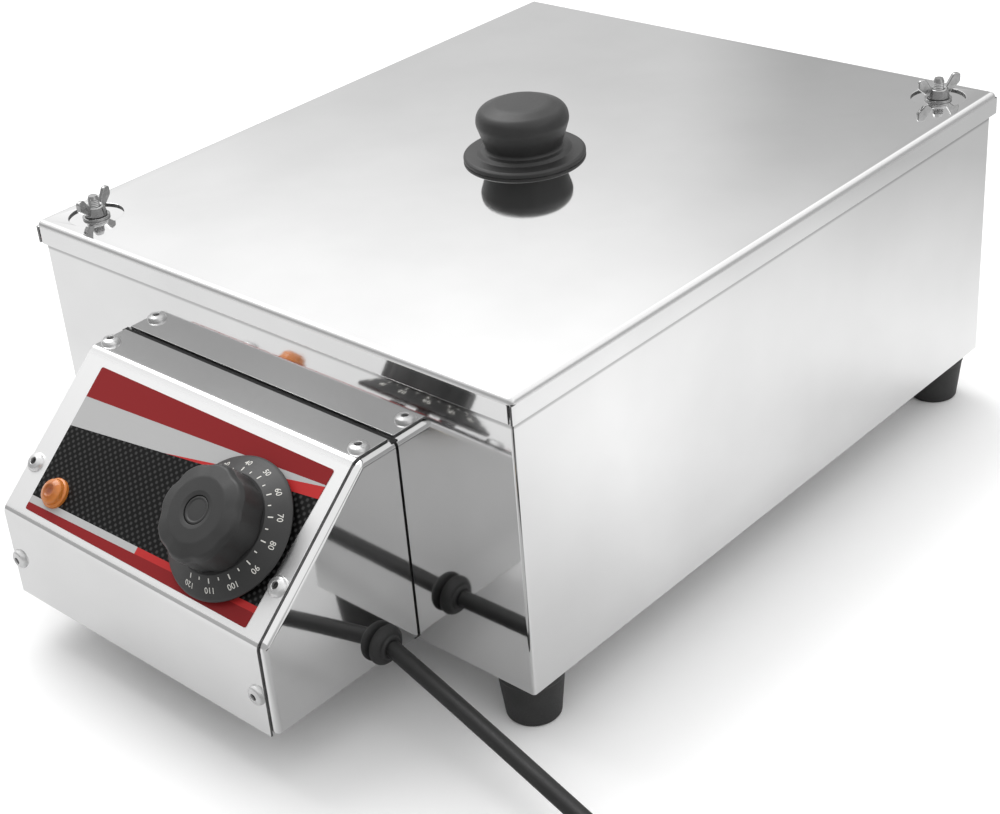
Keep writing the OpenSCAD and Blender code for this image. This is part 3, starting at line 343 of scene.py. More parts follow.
def finishPiece(name, bm, slot, body="tank", replaced=(), crease=35, sheet=0.0, softEdge=0.0, material=None):
    if sheet:  # sheet metal grows inwards from its outer face; its sheared edges are dull and painted dark, as painted shade for the gaps along them
        bmesh.ops.solidify(bm, geom=bm.faces[:], thickness=sheet)
        for face in bm.faces:
            thin = [edge for edge in face.edges if abs(edge.calc_length() - sheet) < sheetTolerance]
            face.material_index = len(thin) > 1
    if softEdge:
        roundOff(bm, sharpEdges(bm), softEdge, 2)
    bmesh.ops.scale(bm, vec=(mm, mm, mm), verts=bm.verts)
    mesh = bpy.data.meshes.new(name)
    bm.to_mesh(mesh)
    bm.free()
    mesh.shade_smooth()
    mesh.set_sharp_from_angle(angle=math.radians(crease))
    mesh.materials.append(material or finishes[slot])
    if sheet:
        mesh.materials.append(finishes["shaded_sheared_edge"] if slot == "polished_steel" else finishes[slot])
    piece = addObject(name, mesh)
    level = piece.modifiers.new("levelFaces", "WEIGHTED_NORMAL")  # flat faces stay flat beside rounded folds
    level.keep_sharp = True
    level.weight = levelWeight
    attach(piece, body)
    if replaced:
        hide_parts(*replaced)
    return piece


def closeUp(bm):
    bmesh.ops.remove_doubles(bm, verts=bm.verts, dist=weldDistance)
    faceOutwards(bm)


def roundedLine(bm, corners, closed=False, segments=5):
    # a wire line; each corner is a point and the radius that rounds it
    places = [Vector(point) for point, radius in corners]
    verts = [bm.verts.new(place) for place in places]
    count = len(verts)
    for i in range(count if closed else count - 1):
        bm.edges.new((verts[i], verts[(i + 1) % count]))
    for i, (point, radius) in enumerate(corners):
        if radius:
            opening = (places[i - 1] - places[i]).angle(places[(i + 1) % count] - places[i])
            roundOff(bm, [verts[i]], radius / math.tan(opening / 2), segments, "VERTICES")


def lathe(profile, closed=False, steps=64, segments=5):
    # profile corners are radius, height and rounding; turned about Z
    bm = bmesh.new()
    roundedLine(bm, [((r, 0, z), rounding) for r, z, rounding in profile], closed, segments)
    bmesh.ops.spin(bm, geom=bm.verts[:] + bm.edges[:], cent=(0, 0, 0), axis=(0, 0, 1),
                   angle=2 * math.pi, steps=steps, use_merge=True)
    closeUp(bm)
    return bm


def stamp(bm, part, place):
    mesh = bpy.data.meshes.new("stamp")
    part.to_mesh(mesh)
    mesh.transform(place)
    bm.from_mesh(mesh)
    bpy.data.meshes.remove(mesh)


def placed(part, place):
    bmesh.ops.transform(part, matrix=place, verts=part.verts)
    return part


def rectangle(bm, width, length, middle, rounding=0.0, segments=6):
    x, y = width / 2, length / 2
    corners = [(middle[0] + a, middle[1] + b, middle[2]) for a, b in ((x, y), (-x, y), (-x, -y), (x, -y))]
    roundedLine(bm, [(corner, rounding) for corner in corners], True, segments)


def punch(bm, x, y, z, diameter, facets):
    bmesh.ops.create_circle(bm, radius=diameter / 2, segments=facets, matrix=at(x, y, z))


def tuck(bm, edges, middle, grow, rise):
    # pull a loop of edges on: wider or narrower by grow on every side, and up by rise
    made = bmesh.ops.extrude_edge_only(bm, edges=edges)["geom"]
    verts = vertsOf(made)
    halfX = max(abs(vert.co.x - middle[0]) for vert in verts)
    halfY = max(abs(vert.co.y - middle[1]) for vert in verts)
    for vert in verts:
        vert.co.x = middle[0] + (vert.co.x - middle[0]) * (halfX + grow) / halfX
        vert.co.y = middle[1] + (vert.co.y - middle[1]) * (halfY + grow) / halfY
        vert.co.z += rise
    return edgesOf(made)


# casing: walls and inward rim folded from one sheet
casingShape = {
    "width": 270.0,
    "length": 328.0,
    "middleY": 38.5,
    "low": 23.0,
    "top": 151.0,
    "rim": 28.0,
    "fold": 1.4,
    "foldSteps": 4,
    "sheet": 1.0,
}


def makeCasing(shape):
    bm = bmesh.new()
    height = shape["top"] - shape["low"]
    middle = at(0, shape["middleY"], shape["low"] + height / 2)
    size = Matrix.Diagonal((shape["width"], shape["length"], height, 1))
    bmesh.ops.create_cube(bm, size=1, matrix=middle @ size)
    bmesh.ops.delete(bm, geom=[faceTowards(bm, (0, 0, -1))], context="FACES")
    top = faceTowards(bm, (0, 0, 1))
    bmesh.ops.inset_region(bm, faces=[top], thickness=shape["rim"], use_even_offset=True)
    folds = sharpEdges(bm)
    bmesh.ops.delete(bm, geom=[top], context="FACES")
    roundOff(bm, folds, shape["fold"], shape["foldSteps"])
    faceOutwards(bm)
    # the wall's finish carries a painted shade line under the lid's skirt
    finishPiece("casing", bm, "polished_steel", replaced=["casing_wrap"], sheet=shape["sheet"],
                material=finishes["wall_steel"])


makeCasing(casingShape)


# inner pan: flange on the casing's rim, walls and a rounded bottom
panShape = {
    "flange": (268.4, 326.4),
    "flangeCorner": 1.0,
    "pocket": (210.0, 268.0),
    "corner": 13.0,
    "top": 152.0,
    "bottom": 62.0,
    "mouthBend": 2.5,
    "bottomBend": 9.0,
    "bottomSteps": 6,
    "studHoles": ((-118.0, -108.5), (118.0, 185.5)),
    "studHole": 5.6,
    "holeFacets": 24,
    "sheet": 1.0,
}


def quarterBend(bm, edges, middle, radius, inFirst, steps=4):
    # a quarter round: level then down when inFirst, otherwise down then level
    for i in range(steps):
        a, b = (quarter * k / steps for k in (i, i + 1))
        flat, steep = math.sin(b) - math.sin(a), math.cos(a) - math.cos(b)
        inwards, down = (flat, steep) if inFirst else (steep, flat)
        edges = tuck(bm, edges, middle, -radius * inwards, -radius * down)
    return edges


def makePan(shape):
    bm = bmesh.new()
    middle = (0, casingShape["middleY"], shape["top"])
    bend = shape["mouthBend"]
    mouthSize = [side + 2 * bend for side in shape["pocket"]]
    rectangle(bm, *shape["flange"], middle, shape["flangeCorner"], segments=2)
    rectangle(bm, *mouthSize, middle, shape["corner"] + bend)
    for x, y in shape["studHoles"]:
        punch(bm, x, y, shape["top"], shape["studHole"], shape["holeFacets"])
    bmesh.ops.triangle_fill(bm, edges=bm.edges[:], use_beauty=True, normal=(0, 0, 1))
    reachX, reachY = (size / 2 + shape["sheet"] for size in mouthSize)
    mouth = [edge for edge in openEdges(bm) if abs(edge.verts[0].co.x) < reachX
             and abs(edge.verts[0].co.y - middle[1]) < reachY]
    loop = quarterBend(bm, mouth, middle, bend, True)
    loop = tuck(bm, loop, middle, 0, -(shape["top"] - shape["bottom"] - bend - shape["bottomBend"]))
    loop = quarterBend(bm, loop, middle, shape["bottomBend"], False, shape["bottomSteps"])
    bmesh.ops.edgeloop_fill(bm, edges=loop)
    faceOutwards(bm)
    if faceTowards(bm, (0, 0, -1)).normal.z < 0:  # the bottom looks up
        bmesh.ops.reverse_faces(bm, faces=bm.faces)
    finishPiece("innerPan", bm, "polished_steel", replaced=["inner_pan"], sheet=shape["sheet"])


makePan(panShape)


# lid: shallow folded tray with closed corners, slits in its skirt and two clearance holes
lidShape = {
    "width": 273.8,
    "length": 331.8,
    "top": 153.0,
    "skirt": 10.5,
    "fold": 2.6,
    "foldSteps": 5,
    "cutEdge": 0.3,
    "sheet": 1.0,
    "slit": 1.2,
    "studHole": 24.0,
    "studFacets": 72,
    "knobHole": 5.3,
    "knobFacets": 24,
    "weld": 0.01,
}


def foldSkirt(bm, edge, shape):
    # bend one side of the tray down and lengthen its skirt towards the corners
    fold, up = shape["fold"], Vector((0, 0, 1))
    middle = (edge.verts[0].co + edge.verts[1].co) / 2
    outwards = Vector((middle.x, middle.y - casingShape["middleY"], 0)).normalized()
    turned = bmesh.ops.spin(bm, geom=[edge, *edge.verts], cent=middle - fold * up, axis=up.cross(outwards),
                            angle=quarter, steps=shape["foldSteps"])
    made = pullEdges(bm, edgesOf(turned["geom_last"]), (fold - shape["skirt"]) * up)
    skirt = next(item for item in made if isinstance(item, bmesh.types.BMFace))
    sideways = abs(outwards.x) > abs(outwards.y)
    along = fold if sideways else fold - shape["sheet"] - shape["slit"]
    upright = [side for side in skirt.edges if abs(side.verts[0].co.z - side.verts[1].co.z) > shape["sheet"]]
    for end in upright:
        away = (end.verts[0].co - skirt.calc_center_median()).project(outwards.cross(up))
        pullEdges(bm, [end], away.normalized() * along)


def closeCorner(bm, x, y, shape):
    # a round patch closes the gap between two folds
    fold, steps = shape["fold"], shape["foldSteps"]
    across, along = (shape[side] / 2 - fold for side in ("width", "length"))
    corner = Vector((x * across, casingShape["middleY"] + y * along, shape["top"] - fold))
    verts = [bm.verts.new(corner + Vector((0, 0, fold)))]
    bmesh.ops.spin(bm, geom=verts, cent=corner, axis=(0, x, 0), angle=quarter, steps=steps)
    line = []
    while len(line) < steps:
        line.append(next(edge for edge in verts[-1].link_edges if edge not in line))
        verts.append(line[-1].other_vert(verts[-1]))
    bmesh.ops.spin(bm, geom=line + verts, cent=corner, axis=(0, 0, x * y), angle=quarter, steps=steps)


def makeLid(shape):
    bm = bmesh.new()
    y0 = casingShape["middleY"]
    size = [shape[side] - 2 * shape["fold"] for side in ("width", "length")]
    rectangle(bm, *size, (0, y0, shape["top"]))
    border = bm.edges[:]
    holes = [(place, shape["studHole"], shape["studFacets"]) for place in panShape["studHoles"]]
    for (x, y), hole, facets in holes + [((0, y0), shape["knobHole"], shape["knobFacets"])]:
        punch(bm, x, y, shape["top"], hole, facets)
    bmesh.ops.triangle_fill(bm, edges=bm.edges[:], use_beauty=True, normal=(0, 0, 1))
    for edge in border:
        foldSkirt(bm, edge, shape)
    for x, y in ((-1, -1), (1, -1), (1, 1), (-1, 1)):
        closeCorner(bm, x, y, shape)
    bmesh.ops.remove_doubles(bm, verts=bm.verts, dist=shape["weld"])
    faceUp(bm)
    finishPiece("lidTray", bm, "polished_steel", "lid", ["lid"], sheet=shape["sheet"],
                softEdge=shape["cutEdge"], material=finishes["lid_steel"])


makeLid(lidShape)
print("casing, pan and lid made")


# lid knob: mushroom head over a wide brim with a rolled edge
knobShape = {
    "profile": [
        (0, 0.0, 0), (26.7, 0.0, 0.2), (27.0, 0.4, 0.3), (27.0, 1.6, 0.7), (25.9, 2.4, 1.0), (21.0, 2.8, 0.9),
        (19.4, 4.0, 1.0), (17.2, 4.6, 1.0), (17.0, 5.8, 1.4), (19.0, 11.4, 9.0), (20.6, 16.4, 5.0),
        (19.9, 21.6, 5.0), (12.5, 24.7, 9.0), (0, 25.0, 0)],
    "facets": 72,
}


def makeKnob(shape):
    place = at(0, casingShape["middleY"], lidShape["top"])
    knob = placed(lathe(shape["profile"], steps=shape["facets"], segments=6), place)
    finishPiece("lidKnob", knob, "black_moulding", "lid", ["lid_knob"], crease=50)


makeKnob(knobShape)


# studs, washers and wing nuts at two opposite corners
fastenerShape = {
    "studTop": 162.0,
    "studRadius": 2.5,
    "studChamfer": (0.6, 0.7),
    "studFacets": 32,
    "thread": [(0.0, -0.1), (0.3, 0.3), (0.0, 0.68)],  # depth and height of one turn
    "threadPitch": 0.8,
    "washer": [(2.8, 0, 0.1), (6.0, 0, 0.25), (6.0, 1.0, 0.25), (2.8, 1.0, 0.1)],
    "washerLow": 152.0,
    "washerFacets": 48,
    "nutLow": 153.0,
    "turns": (104.0, 62.0),
    "hub": [(2.65, 0.5, 0), (3.1, 0.0, 0.2), (4.6, 0.0, 0.4), (5.0, 0.5, 0.4), (4.1, 4.1, 0.5),
            (3.6, 4.5, 0.3), (2.65, 4.1, 0)],
    "hubFacets": 40,
    "wing": [(2.9, 0.8, 0), (4.7, 0.8, 1.2), (10.5, 5.6, 2.0), (10.5, 9.6, 1.3), (7.2, 10.0, 1.6),
             (3.2, 4.0, 1.2)],
    "wingThickness": 2.0,
    "wingEdge": 0.45,
}


def makeStuds(shape):
    low, radius, pitch = casingShape["top"], shape["studRadius"], shape["threadPitch"]
    inwards, down = shape["studChamfer"]
    profile = [(0, low, 0), (radius, low, 0)]
    for i in range(1, int((shape["studTop"] - down - low) / pitch)):
        profile += [(radius - depth, low + i * pitch + rise, 0) for depth, rise in shape["thread"]]
    profile += [(radius - inwards, shape["studTop"], 0), (0, shape["studTop"], 0)]
    stud = lathe(profile, steps=shape["studFacets"])
    studs = bmesh.new()
    for x, y in panShape["studHoles"]:
        stamp(studs, stud, at(x, y, 0))
    stud.free()
    finishPiece("rimStuds", studs, "zinc_steel", replaced=["rim_studs"], crease=25)


def wingNut(shape):
    nut = lathe(shape["hub"], True, shape["hubFacets"], segments=3)
    wing = bmesh.new()
    thick = shape["wingThickness"]
    roundedLine(wing, [((r, -thick / 2, z), rounding) for r, z, rounding in shape["wing"]], True, segments=6)
    pullOutline(wing, (0, thick, 0))
    roundOff(wing, sharpEdges(wing), shape["wingEdge"], 3)
    closeUp(wing)
    for half in (0, math.pi):
        stamp(nut, wing, Matrix.Rotation(half, 4, "Z"))
    wing.free()
    return nut


def makeFasteners(shape):
    makeStuds(shape)
    for corner, (x, y), turn in zip(("front", "rear"), panShape["studHoles"], shape["turns"]):
        ring = lathe(shape["washer"], True, shape["washerFacets"], segments=2)
        seat = at(x, y, shape["washerLow"])
        washer = corner + "_washer"
        finishPiece(corner + "Washer", placed(ring, seat), "zinc_steel", washer, [washer], crease=60)
        place = at(x, y, shape["nutLow"]) @ turnedBy(turn)
        finishPiece(corner + "WingNut", placed(wingNut(shape), place), "zinc_steel", corner + "_nut",
                    ["wing_nut_" + corner], crease=40)


makeFasteners(fastenerShape)


# four rubber feet, hollow under for their nuts
footShape = {
    "profile": [(2.6, 9.0, 0), (7.0, 9.0, 0.4), (7.0, 0.0, 0.5), (11.0, 0.0, 1.2), (13.1, 19.0, 0.8),
                (13.5, 20.0, 0.6), (13.5, 23.0, 0.6), (2.6, 23.0, 0)],
    "facets": 56,
    "x": 120.5,
    "y": (-111.0, 188.0),
}


def makeFeet(shape):
    for end, y in zip(("front", "rear"), shape["y"]):
        for side, x in (("left", -shape["x"]), ("right", shape["x"])):
            foot = placed(lathe(shape["profile"], True, shape["facets"], segments=4), at(x, y, 0))
            finishPiece(end + side.title() + "Foot", foot, "black_rubber", replaced=[f"foot_{end}_{side}"],
                        crease=40)


makeFeet(footShape)
print("knob, fasteners and feet made")


# control box: folded body with side panels, and a folded cover riveted over its flanges
boxShape = {
    "left": -88.0,
    "right": 75.0,
    "coverLeft": -85.0,
    "coverRight": 72.0,
    "low": 23.0,
    "top": 115.0,
    "rear": -127.0,
    "bodyRear": -126.2,  # the body's edges close over most of the seal
    "front": -202.5,
    "foldZ": 64.581,
    "stripY": -144.5,
    "slope": 41.0,
    "flange": 12.0,
    "sheet": 1.0,
    "sideFold": 2.6,
    "sideSteps": 5,
    "coverFold": 4.0,
    "coverSteps": 8,
    "coverEdge": 0.2,
    "floorFrom": -0.2,  # faces that look further down are the box's floor
}
panelMiddle = (boxShape["left"] + boxShape["right"]) / 2
panelTilt = math.radians(boxShape["slope"])


def onPanel(x, v, h=0.0):
    # matrix of a place on the sloped panel: across from its middle, up the slope, out of the panel
    start = at(panelMiddle, boxShape["front"], boxShape["foldZ"])
    return start @ Matrix.Rotation(panelTilt, 4, "X") @ at(x, v, h)


def boxOutline(inset, rear):
    foldIn, stripIn = math.tan(math.pi / 4 - panelTilt / 2), math.tan(panelTilt / 2)
    return [(rear, boxShape["low"]),
            (boxShape["front"] + inset, boxShape["low"]),
            (boxShape["front"] + inset, boxShape["foldZ"] - inset * foldIn),
            (boxShape["stripY"] + inset * stripIn, boxShape["top"] - inset),
            (rear, boxShape["top"] - inset)]


def makeBoxBody(shape):
    bm = bmesh.new()
    outline = boxOutline(shape["sheet"], shape["bodyRear"])
    side = bm.faces.new([bm.verts.new((shape["left"], y, z)) for y, z in outline])
    pullFaces(bm, [side], (shape["right"] - shape["left"], 0, 0))
    faceOutwards(bm)
    bmesh.ops.delete(bm, geom=[faceTowards(bm, (0, 1, 0))], context="FACES")
    folds = [edge for edge in bm.edges if len(edge.link_faces) == 2]
    roundOff(bm, folds, shape["sideFold"], shape["sideSteps"])
    for x in (shape["left"] + shape["flange"], shape["right"] - shape["flange"]):
        everything = bm.verts[:] + bm.edges[:] + bm.faces[:]
        bmesh.ops.bisect_plane(bm, geom=everything, plane_co=(x, 0, 0), plane_no=(1, 0, 0))
    centre = (shape["right"] - shape["left"]) / 2 - 2 * shape["flange"]  # the flanges lie further out
    window = [face for face in bm.faces if abs(face.calc_center_median().x - panelMiddle) < centre
              and face.normal.z > shape["floorFrom"]]
    bmesh.ops.delete(bm, geom=window, context="FACES")
    finishPiece("controlBoxBody", bm, "polished_steel", replaced=["control_box_body"], sheet=shape["sheet"])


def makeCover(shape):
    bm = bmesh.new()
    low, fold, strip, rear = boxOutline(0, shape["rear"])[1:]
    corners = [(low, 0), (fold, shape["coverFold"]), (strip, shape["coverFold"]), (rear, 0)]
    line = [((shape["coverLeft"], y, z), radius) for (y, z), radius in corners]
    roundedLine(bm, line, segments=shape["coverSteps"])
    pullEdges(bm, bm.edges[:], (shape["coverRight"] - shape["coverLeft"], 0, 0))
    faceUp(bm)
    finishPiece("controlCover", bm, "polished_steel", replaced=["control_cover"], sheet=shape["sheet"],
                softEdge=shape["coverEdge"], material=finishes["satin_steel"])


makeBoxBody(boxShape)
makeCover(boxShape)


# six blind rivets
rivetShape = {
    "head": [(0, -0.2, 0), (4.25, -0.2, 0), (4.25, 0.5, 0.3), (3.6, 1.6, 1.2), (1.5, 2.2, 0.25),
             (1.4, 0.3, 0), (0, 0.3, 0)],
    "stem": [(0, 0.2, 0), (1.38, 0.2, 0), (1.3, 0.8, 0.2), (0.7, 1.1, 0.2), (0, 1.0, 0)],
    "facets": 36,
    "x": 74.2,
    "stripY": -138.0,
    "slopeV": 23.0,
    "lowZ": 41.0,
}


def makeRivets(shape, name, profile, finish, replaced):
    one = lathe(shape[profile], steps=shape["facets"], segments=4)
    forwards = Matrix.Rotation(quarter, 4, "X")
    rivets = bmesh.new()
    for x in (-shape["x"], shape["x"]):
        stamp(rivets, one, at(panelMiddle + x, shape["stripY"], boxShape["top"]))
        stamp(rivets, one, onPanel(x, shape["slopeV"]))
        stamp(rivets, one, at(panelMiddle + x, boxShape["front"], shape["lowZ"]) @ forwards)
    one.free()
    finishPiece(name, rivets, "polished_steel", replaced=replaced, crease=40, material=finishes[finish])


makeRivets(rivetShape, "coverRivets", "head", "satin_rivet", ["cover_rivets"])
# the near-black stems paint the shade inside the rivet holes
makeRivets(rivetShape, "rivetStems", "stem", "stem_hole_shade", [])


# printed label on the sloped panel
labelShape = {
    "left": -66.45,
    "low": 4.3,
    "width": 135.9,
    "height": 66.0,
    "topExtra": 3.0,
    "thickness": 0.3,
    "corner": 1.0,
}
labelPrint = {
    "darkRed": (0.262, 0.018, 0.020),
    "brightRed": (0.52, 0.035, 0.035),
    "silver": grey(0.49),
    "meshDark": grey(0.005),
    "meshLight": grey(0.05),
    "meshPitch": (3.6, 3.4),
    "meshBump": (0.05, 0.8),
    "fieldTop": (0.585, 0.225),  # height at the left edge and rise to the right edge
    "wedgeTop": (0.532, 0.353),
    "bandLow": (0.79, 0.11),
    "fieldLow": (0.095, 0.04),
    "footBand": (0.047, 0.048),
    "footTurn": 0.5,  # share of the width where the line over the foot band turns red
    "specular": 0.12,
    "gloss": (0.3, 0.42),
    "grain": (900.0, 40.0),
    "relief": (0.06, 0.05),
}


def panelCoordinates(tree, x, v):
    # millimetres on the sloped panel: across, up the slope
    place = addNode(tree, "ShaderNodeTexCoord")
    turned = addNode(tree, "ShaderNodeMapping", {"vector_type": "TEXTURE"}, Scale=(mm, mm, mm),
                     Location=onPanel(x, v).translation * mm, Rotation=(panelTilt, 0, 0))
    feed(tree, place.outputs["Object"], turned, "Vector")
    return coordinates(tree, turned.outputs["Vector"])[:2]


def makeLabelPrint(shape, look):
    material, tree, shader = startMaterial("labelPrint")
    across, up = panelCoordinates(tree, shape["left"], shape["low"])
    u = calculate(tree, "DIVIDE", across, shape["width"])
    w = calculate(tree, "DIVIDE", up, shape["height"])

    def side(line, operation):
        start, rise = look[line]
        return calculate(tree, operation, w, calculate(tree, "MULTIPLY_ADD", u, rise, start))

    turns = [calculate(tree, "SINE", calculate(tree, "MULTIPLY", way, 2 * math.pi / pitch))
             for way, pitch in zip((across, up), look["meshPitch"])]
    bumps = spread(tree, calculate(tree, "MULTIPLY", *turns), 0, 1, *look["meshBump"])
    field, foot = side("fieldTop", "GREATER_THAN"), side("fieldLow", "LESS_THAN")
    wedge = calculate(tree, "MULTIPLY", field, side("wedgeTop", "LESS_THAN"))
    late = calculate(tree, "MULTIPLY", foot, calculate(tree, "GREATER_THAN", u, look["footTurn"]))
    colour = blendColours(tree, bumps, look["meshDark"], look["meshLight"])
    for mask, ink in ((field, "silver"), (wedge, "brightRed"), (side("bandLow", "GREATER_THAN"), "darkRed"),
                      (foot, "silver"), (late, "brightRed"), (side("footBand", "LESS_THAN"), "darkRed")):
        colour = blendColours(tree, mask, colour, look[ink])
    feed(tree, colour, shader, "Base Color")
    shader.inputs["Specular IOR Level"].default_value = look["specular"]
    grain = addGrain(tree, *look["grain"])
    feed(tree, spread(tree, grain.outputs["Grain"], *look["gloss"]), shader, "Roughness")
    film = addRelief(tree, grain.outputs["Grain"], *look["relief"])
    feed(tree, film.outputs["Normal"], shader, "Normal")
    return material


finishes["label_print"] = makeLabelPrint(labelShape, labelPrint)


def makeLabel(shape):
    bm = bmesh.new()
    left, right = shape["left"], shape["left"] + shape["width"]
    low, high = shape["low"], shape["low"] + shape["height"]
    corners = [(left, low), (right, low), (right + shape["topExtra"], high), (left, high)]
    roundedLine(bm, [((x, v, 0), shape["corner"]) for x, v in corners], True, segments=4)
    pullOutline(bm, (0, 0, shape["thickness"]))
    faceOutwards(bm)
    finishPiece("controlLabel", placed(bm, onPanel(0, 0)), "label_print", replaced=["control_label"])


makeLabel(labelShape)
print("control box made")


# temperature dial: numbered skirt, lobed grip and a plain centre cap
dialShape = {
    "x": 42.1,
    "v": 34.2,
    "skirt": [(3.4, 2.0, 0), (28.4, 2.0, 0.4), (29.0, 2.6, 0.4), (29.0, 3.2, 0.3), (28.3, 3.8, 0.3),
              (20.4, 8.5, 0.3), (3.4, 8.5, 0)],
    "skirtFacets": 96,
    "grip": [(3.4, 8.5, 0), (19.7, 8.5, 0.3), (19.8, 20.0, 1.0), (18.6, 22.2, 1.6), (13.0, 23.6, 5.0),
             (7.5, 23.8, 1.0), (5.8, 23.5, 0.2), (5.7, 22.4, 0), (3.4, 22.4, 0)],
    "gripFacets": 128,
    "lobes": 8,
    "hollow": 0.9,
    "hollowFrom": 13.0,
    "hollowFade": 5.0,
    "cap": [(0, 22.4, 0), (5.5, 22.4, 0), (5.5, 23.2, 0.3), (4.8, 23.3, 0.3), (4.2, 23.0, 0.4), (0, 23.1, 0)],
    "firstAngle": 124.5,
    "numbers": range(30, 121, 10),
    "stepAngle": 24.4,
    "tick": (21.2, 23.2, 0.5),
    "shortTick": (21.2, 22.4, 0.45),
    "numberSize": 3.36,
    "numberRadius": 25.2,
    "printLift": 0.03,
    "printThickness": 0.05,
    "index": (172.0, 32.6, 1.5),  # angle, distance from the dial axis and size
    "indexCorner": 0.25,
}
(outerRadius, outerHeight), (innerRadius, innerHeight) = (corner[:2] for corner in dialShape["skirt"][4:6])
dialCone = math.atan2(innerHeight - outerHeight, outerRadius - innerRadius)  # fall of the numbered face


def onSkirt(degrees, radius):
    # X runs clockwise along the scale, Y outwards and Z out of the skirt's face
    turn = turnedBy(degrees - 90)
    height = innerHeight - (radius - innerRadius) * math.tan(dialCone) + dialShape["printLift"]
    return turn @ at(0, radius, height) @ Matrix.Rotation(-dialCone, 4, "X")


def addTick(marks, degrees, inner, outer, width):
    tick = bmesh.new()
    bmesh.ops.create_grid(tick, x_segments=1, y_segments=1, size=0.5)
    bmesh.ops.scale(tick, vec=(width, outer - inner, 1), verts=tick.verts)
    stamp(marks, tick, onSkirt(degrees, (inner + outer) / 2))
    tick.free()


def addNumber(marks, number, degrees, shape):
    words = bpy.data.curves.new("number", "FONT")
    words.body = str(number)
    words.size = shape["numberSize"]
    words.align_x, words.align_y = "CENTER", "CENTER"
    words.resolution_u = 3
    holder = addObject("number", words)
    flat = bpy.data.meshes.new_from_object(holder.evaluated_get(bpy.context.evaluated_depsgraph_get()))
    flat.transform(onSkirt(degrees, shape["numberRadius"]))
    marks.from_mesh(flat)
    bpy.data.meshes.remove(flat)
    bpy.data.objects.remove(holder)
    bpy.data.curves.remove(words)


def makeDialMarks(shape, place):
    marks = bmesh.new()
    last = len(shape["numbers"]) - 1
    for i, number in enumerate(shape["numbers"]):
        degrees = shape["firstAngle"] - shape["stepAngle"] * i
        addTick(marks, degrees, *shape["tick"])
        if i < last:
            addTick(marks, degrees - shape["stepAngle"] / 2, *shape["shortTick"])
        addNumber(marks, number, degrees, shape)
    bmesh.ops.solidify(marks, geom=marks.faces[:], thickness=shape["printThickness"])
    finishPiece("dialMarks", placed(marks, place), "white_plastic", "dial")


def makeIndexMark(shape):
    # printed pointer on the label that the numbers are read against
    degrees, radius, size = shape["index"]
    mark = bmesh.new()
    bmesh.ops.create_circle(mark, cap_ends=True, radius=size, segments=3)
    roundOff(mark, mark.verts[:], shape["indexCorner"], 3, "VERTICES")
    bmesh.ops.solidify(mark, geom=mark.faces[:], thickness=shape["printThickness"])
    spot = turnedBy(degrees) @ Vector((radius, 0, 0))
    height = labelShape["thickness"] + shape["printLift"]
    place = onPanel(shape["x"] + spot.x, shape["v"] + spot.y, height)
    turn = turnedBy(degrees + 90)
    finishPiece("indexMark", placed(mark, place @ turn), "white_plastic")


def makeGrip(shape, place):
    grip = lathe(shape["grip"], True, shape["gripFacets"], segments=6)
    for vert in grip.verts:  # shallow finger hollows that fade out over the top
        radius = math.hypot(vert.co.x, vert.co.y)
        beyond = (radius - shape["hollowFrom"]) / shape["hollowFade"]
        if beyond > 0:
            angle = math.atan2(vert.co.y, vert.co.x) + quarter
            hollow = (0.5 - 0.5 * math.cos(angle * shape["lobes"])) ** 2
            pull = 1 - shape["hollow"] * hollow * min(beyond, 1) / radius
            vert.co.x *= pull
            vert.co.y *= pull
    finishPiece("dialGrip", placed(grip, place), "black_moulding", "dial", ["dial_grip"], crease=45)


def makeDial(shape):
    place = onPanel(shape["x"], shape["v"])
    skirt = placed(lathe(shape["skirt"], True, shape["skirtFacets"], segments=3), place)
    finishPiece("dialSkirt", skirt, "black_moulding", "dial", ["dial_skirt"])
    makeGrip(shape, place)
    finishPiece("dialCap", placed(lathe(shape["cap"]), place), "black_moulding", "dial", ["dial_cap"])
    makeDialMarks(shape, place)
    makeIndexMark(shape)


makeDial(dialShape)


# amber pilot lamp
lampShape = {
    "x": -53.9,
    "v": 15.4,
    "lens": [(0, 0.3, 0), (6.5, 0.3, 0), (6.5, 1.7, 0.5), (5.7, 2.1, 0.3), (5.3, 4.0, 1.2), (3.4, 5.0, 1.2),
             (2.6, 5.3, 0.6), (2.0, 4.6, 0.4), (0, 4.5, 0)],
    "facets": 48,
    "edge": (0.68, 0.22, 0.04),
    "heart": (0.26, 0.055, 0.01),
    "fade": (0.8, 5.0),
    "gloss": (0.08, 0.2),
    "grain": (700.0, 200.0),
    "coat": 0.15,
    "depth": 0.15,
    "glow": (0.002, 0.001, 0.0004),
}


def makeLensMaterial(shape):
    material, tree, shader = startMaterial("amberLens")
    ways = panelCoordinates(tree, shape["x"], shape["v"])
    squares = [calculate(tree, "MULTIPLY", way, way) for way in ways]
    distance = calculate(tree, "SQRT", calculate(tree, "ADD", *squares))
    colour = blendColours(tree, spread(tree, distance, 0, 1, *shape["fade"]), shape["heart"], shape["edge"])
    feed(tree, colour, shader, "Base Color")
    grain = addGrain(tree, *shape["grain"])
    feed(tree, spread(tree, grain.outputs["Grain"], *shape["gloss"]), shader, "Roughness")
    shader.inputs["Coat Weight"].default_value = shape["coat"]
    shader.inputs["Subsurface Weight"].default_value = shape["depth"]
    shader.inputs["Subsurface Radius"].default_value = shape["glow"]
    return material


finishes["amber_lens"] = makeLensMaterial(lampShape)


def makeLamp(shape):
    lens = placed(lathe(shape["lens"], steps=shape["facets"]), onPanel(shape["x"], shape["v"]))
    finishPiece("pilotLampLens", lens, "amber_lens", replaced=["pilot_lamp_lens"])


makeLamp(lampShape)


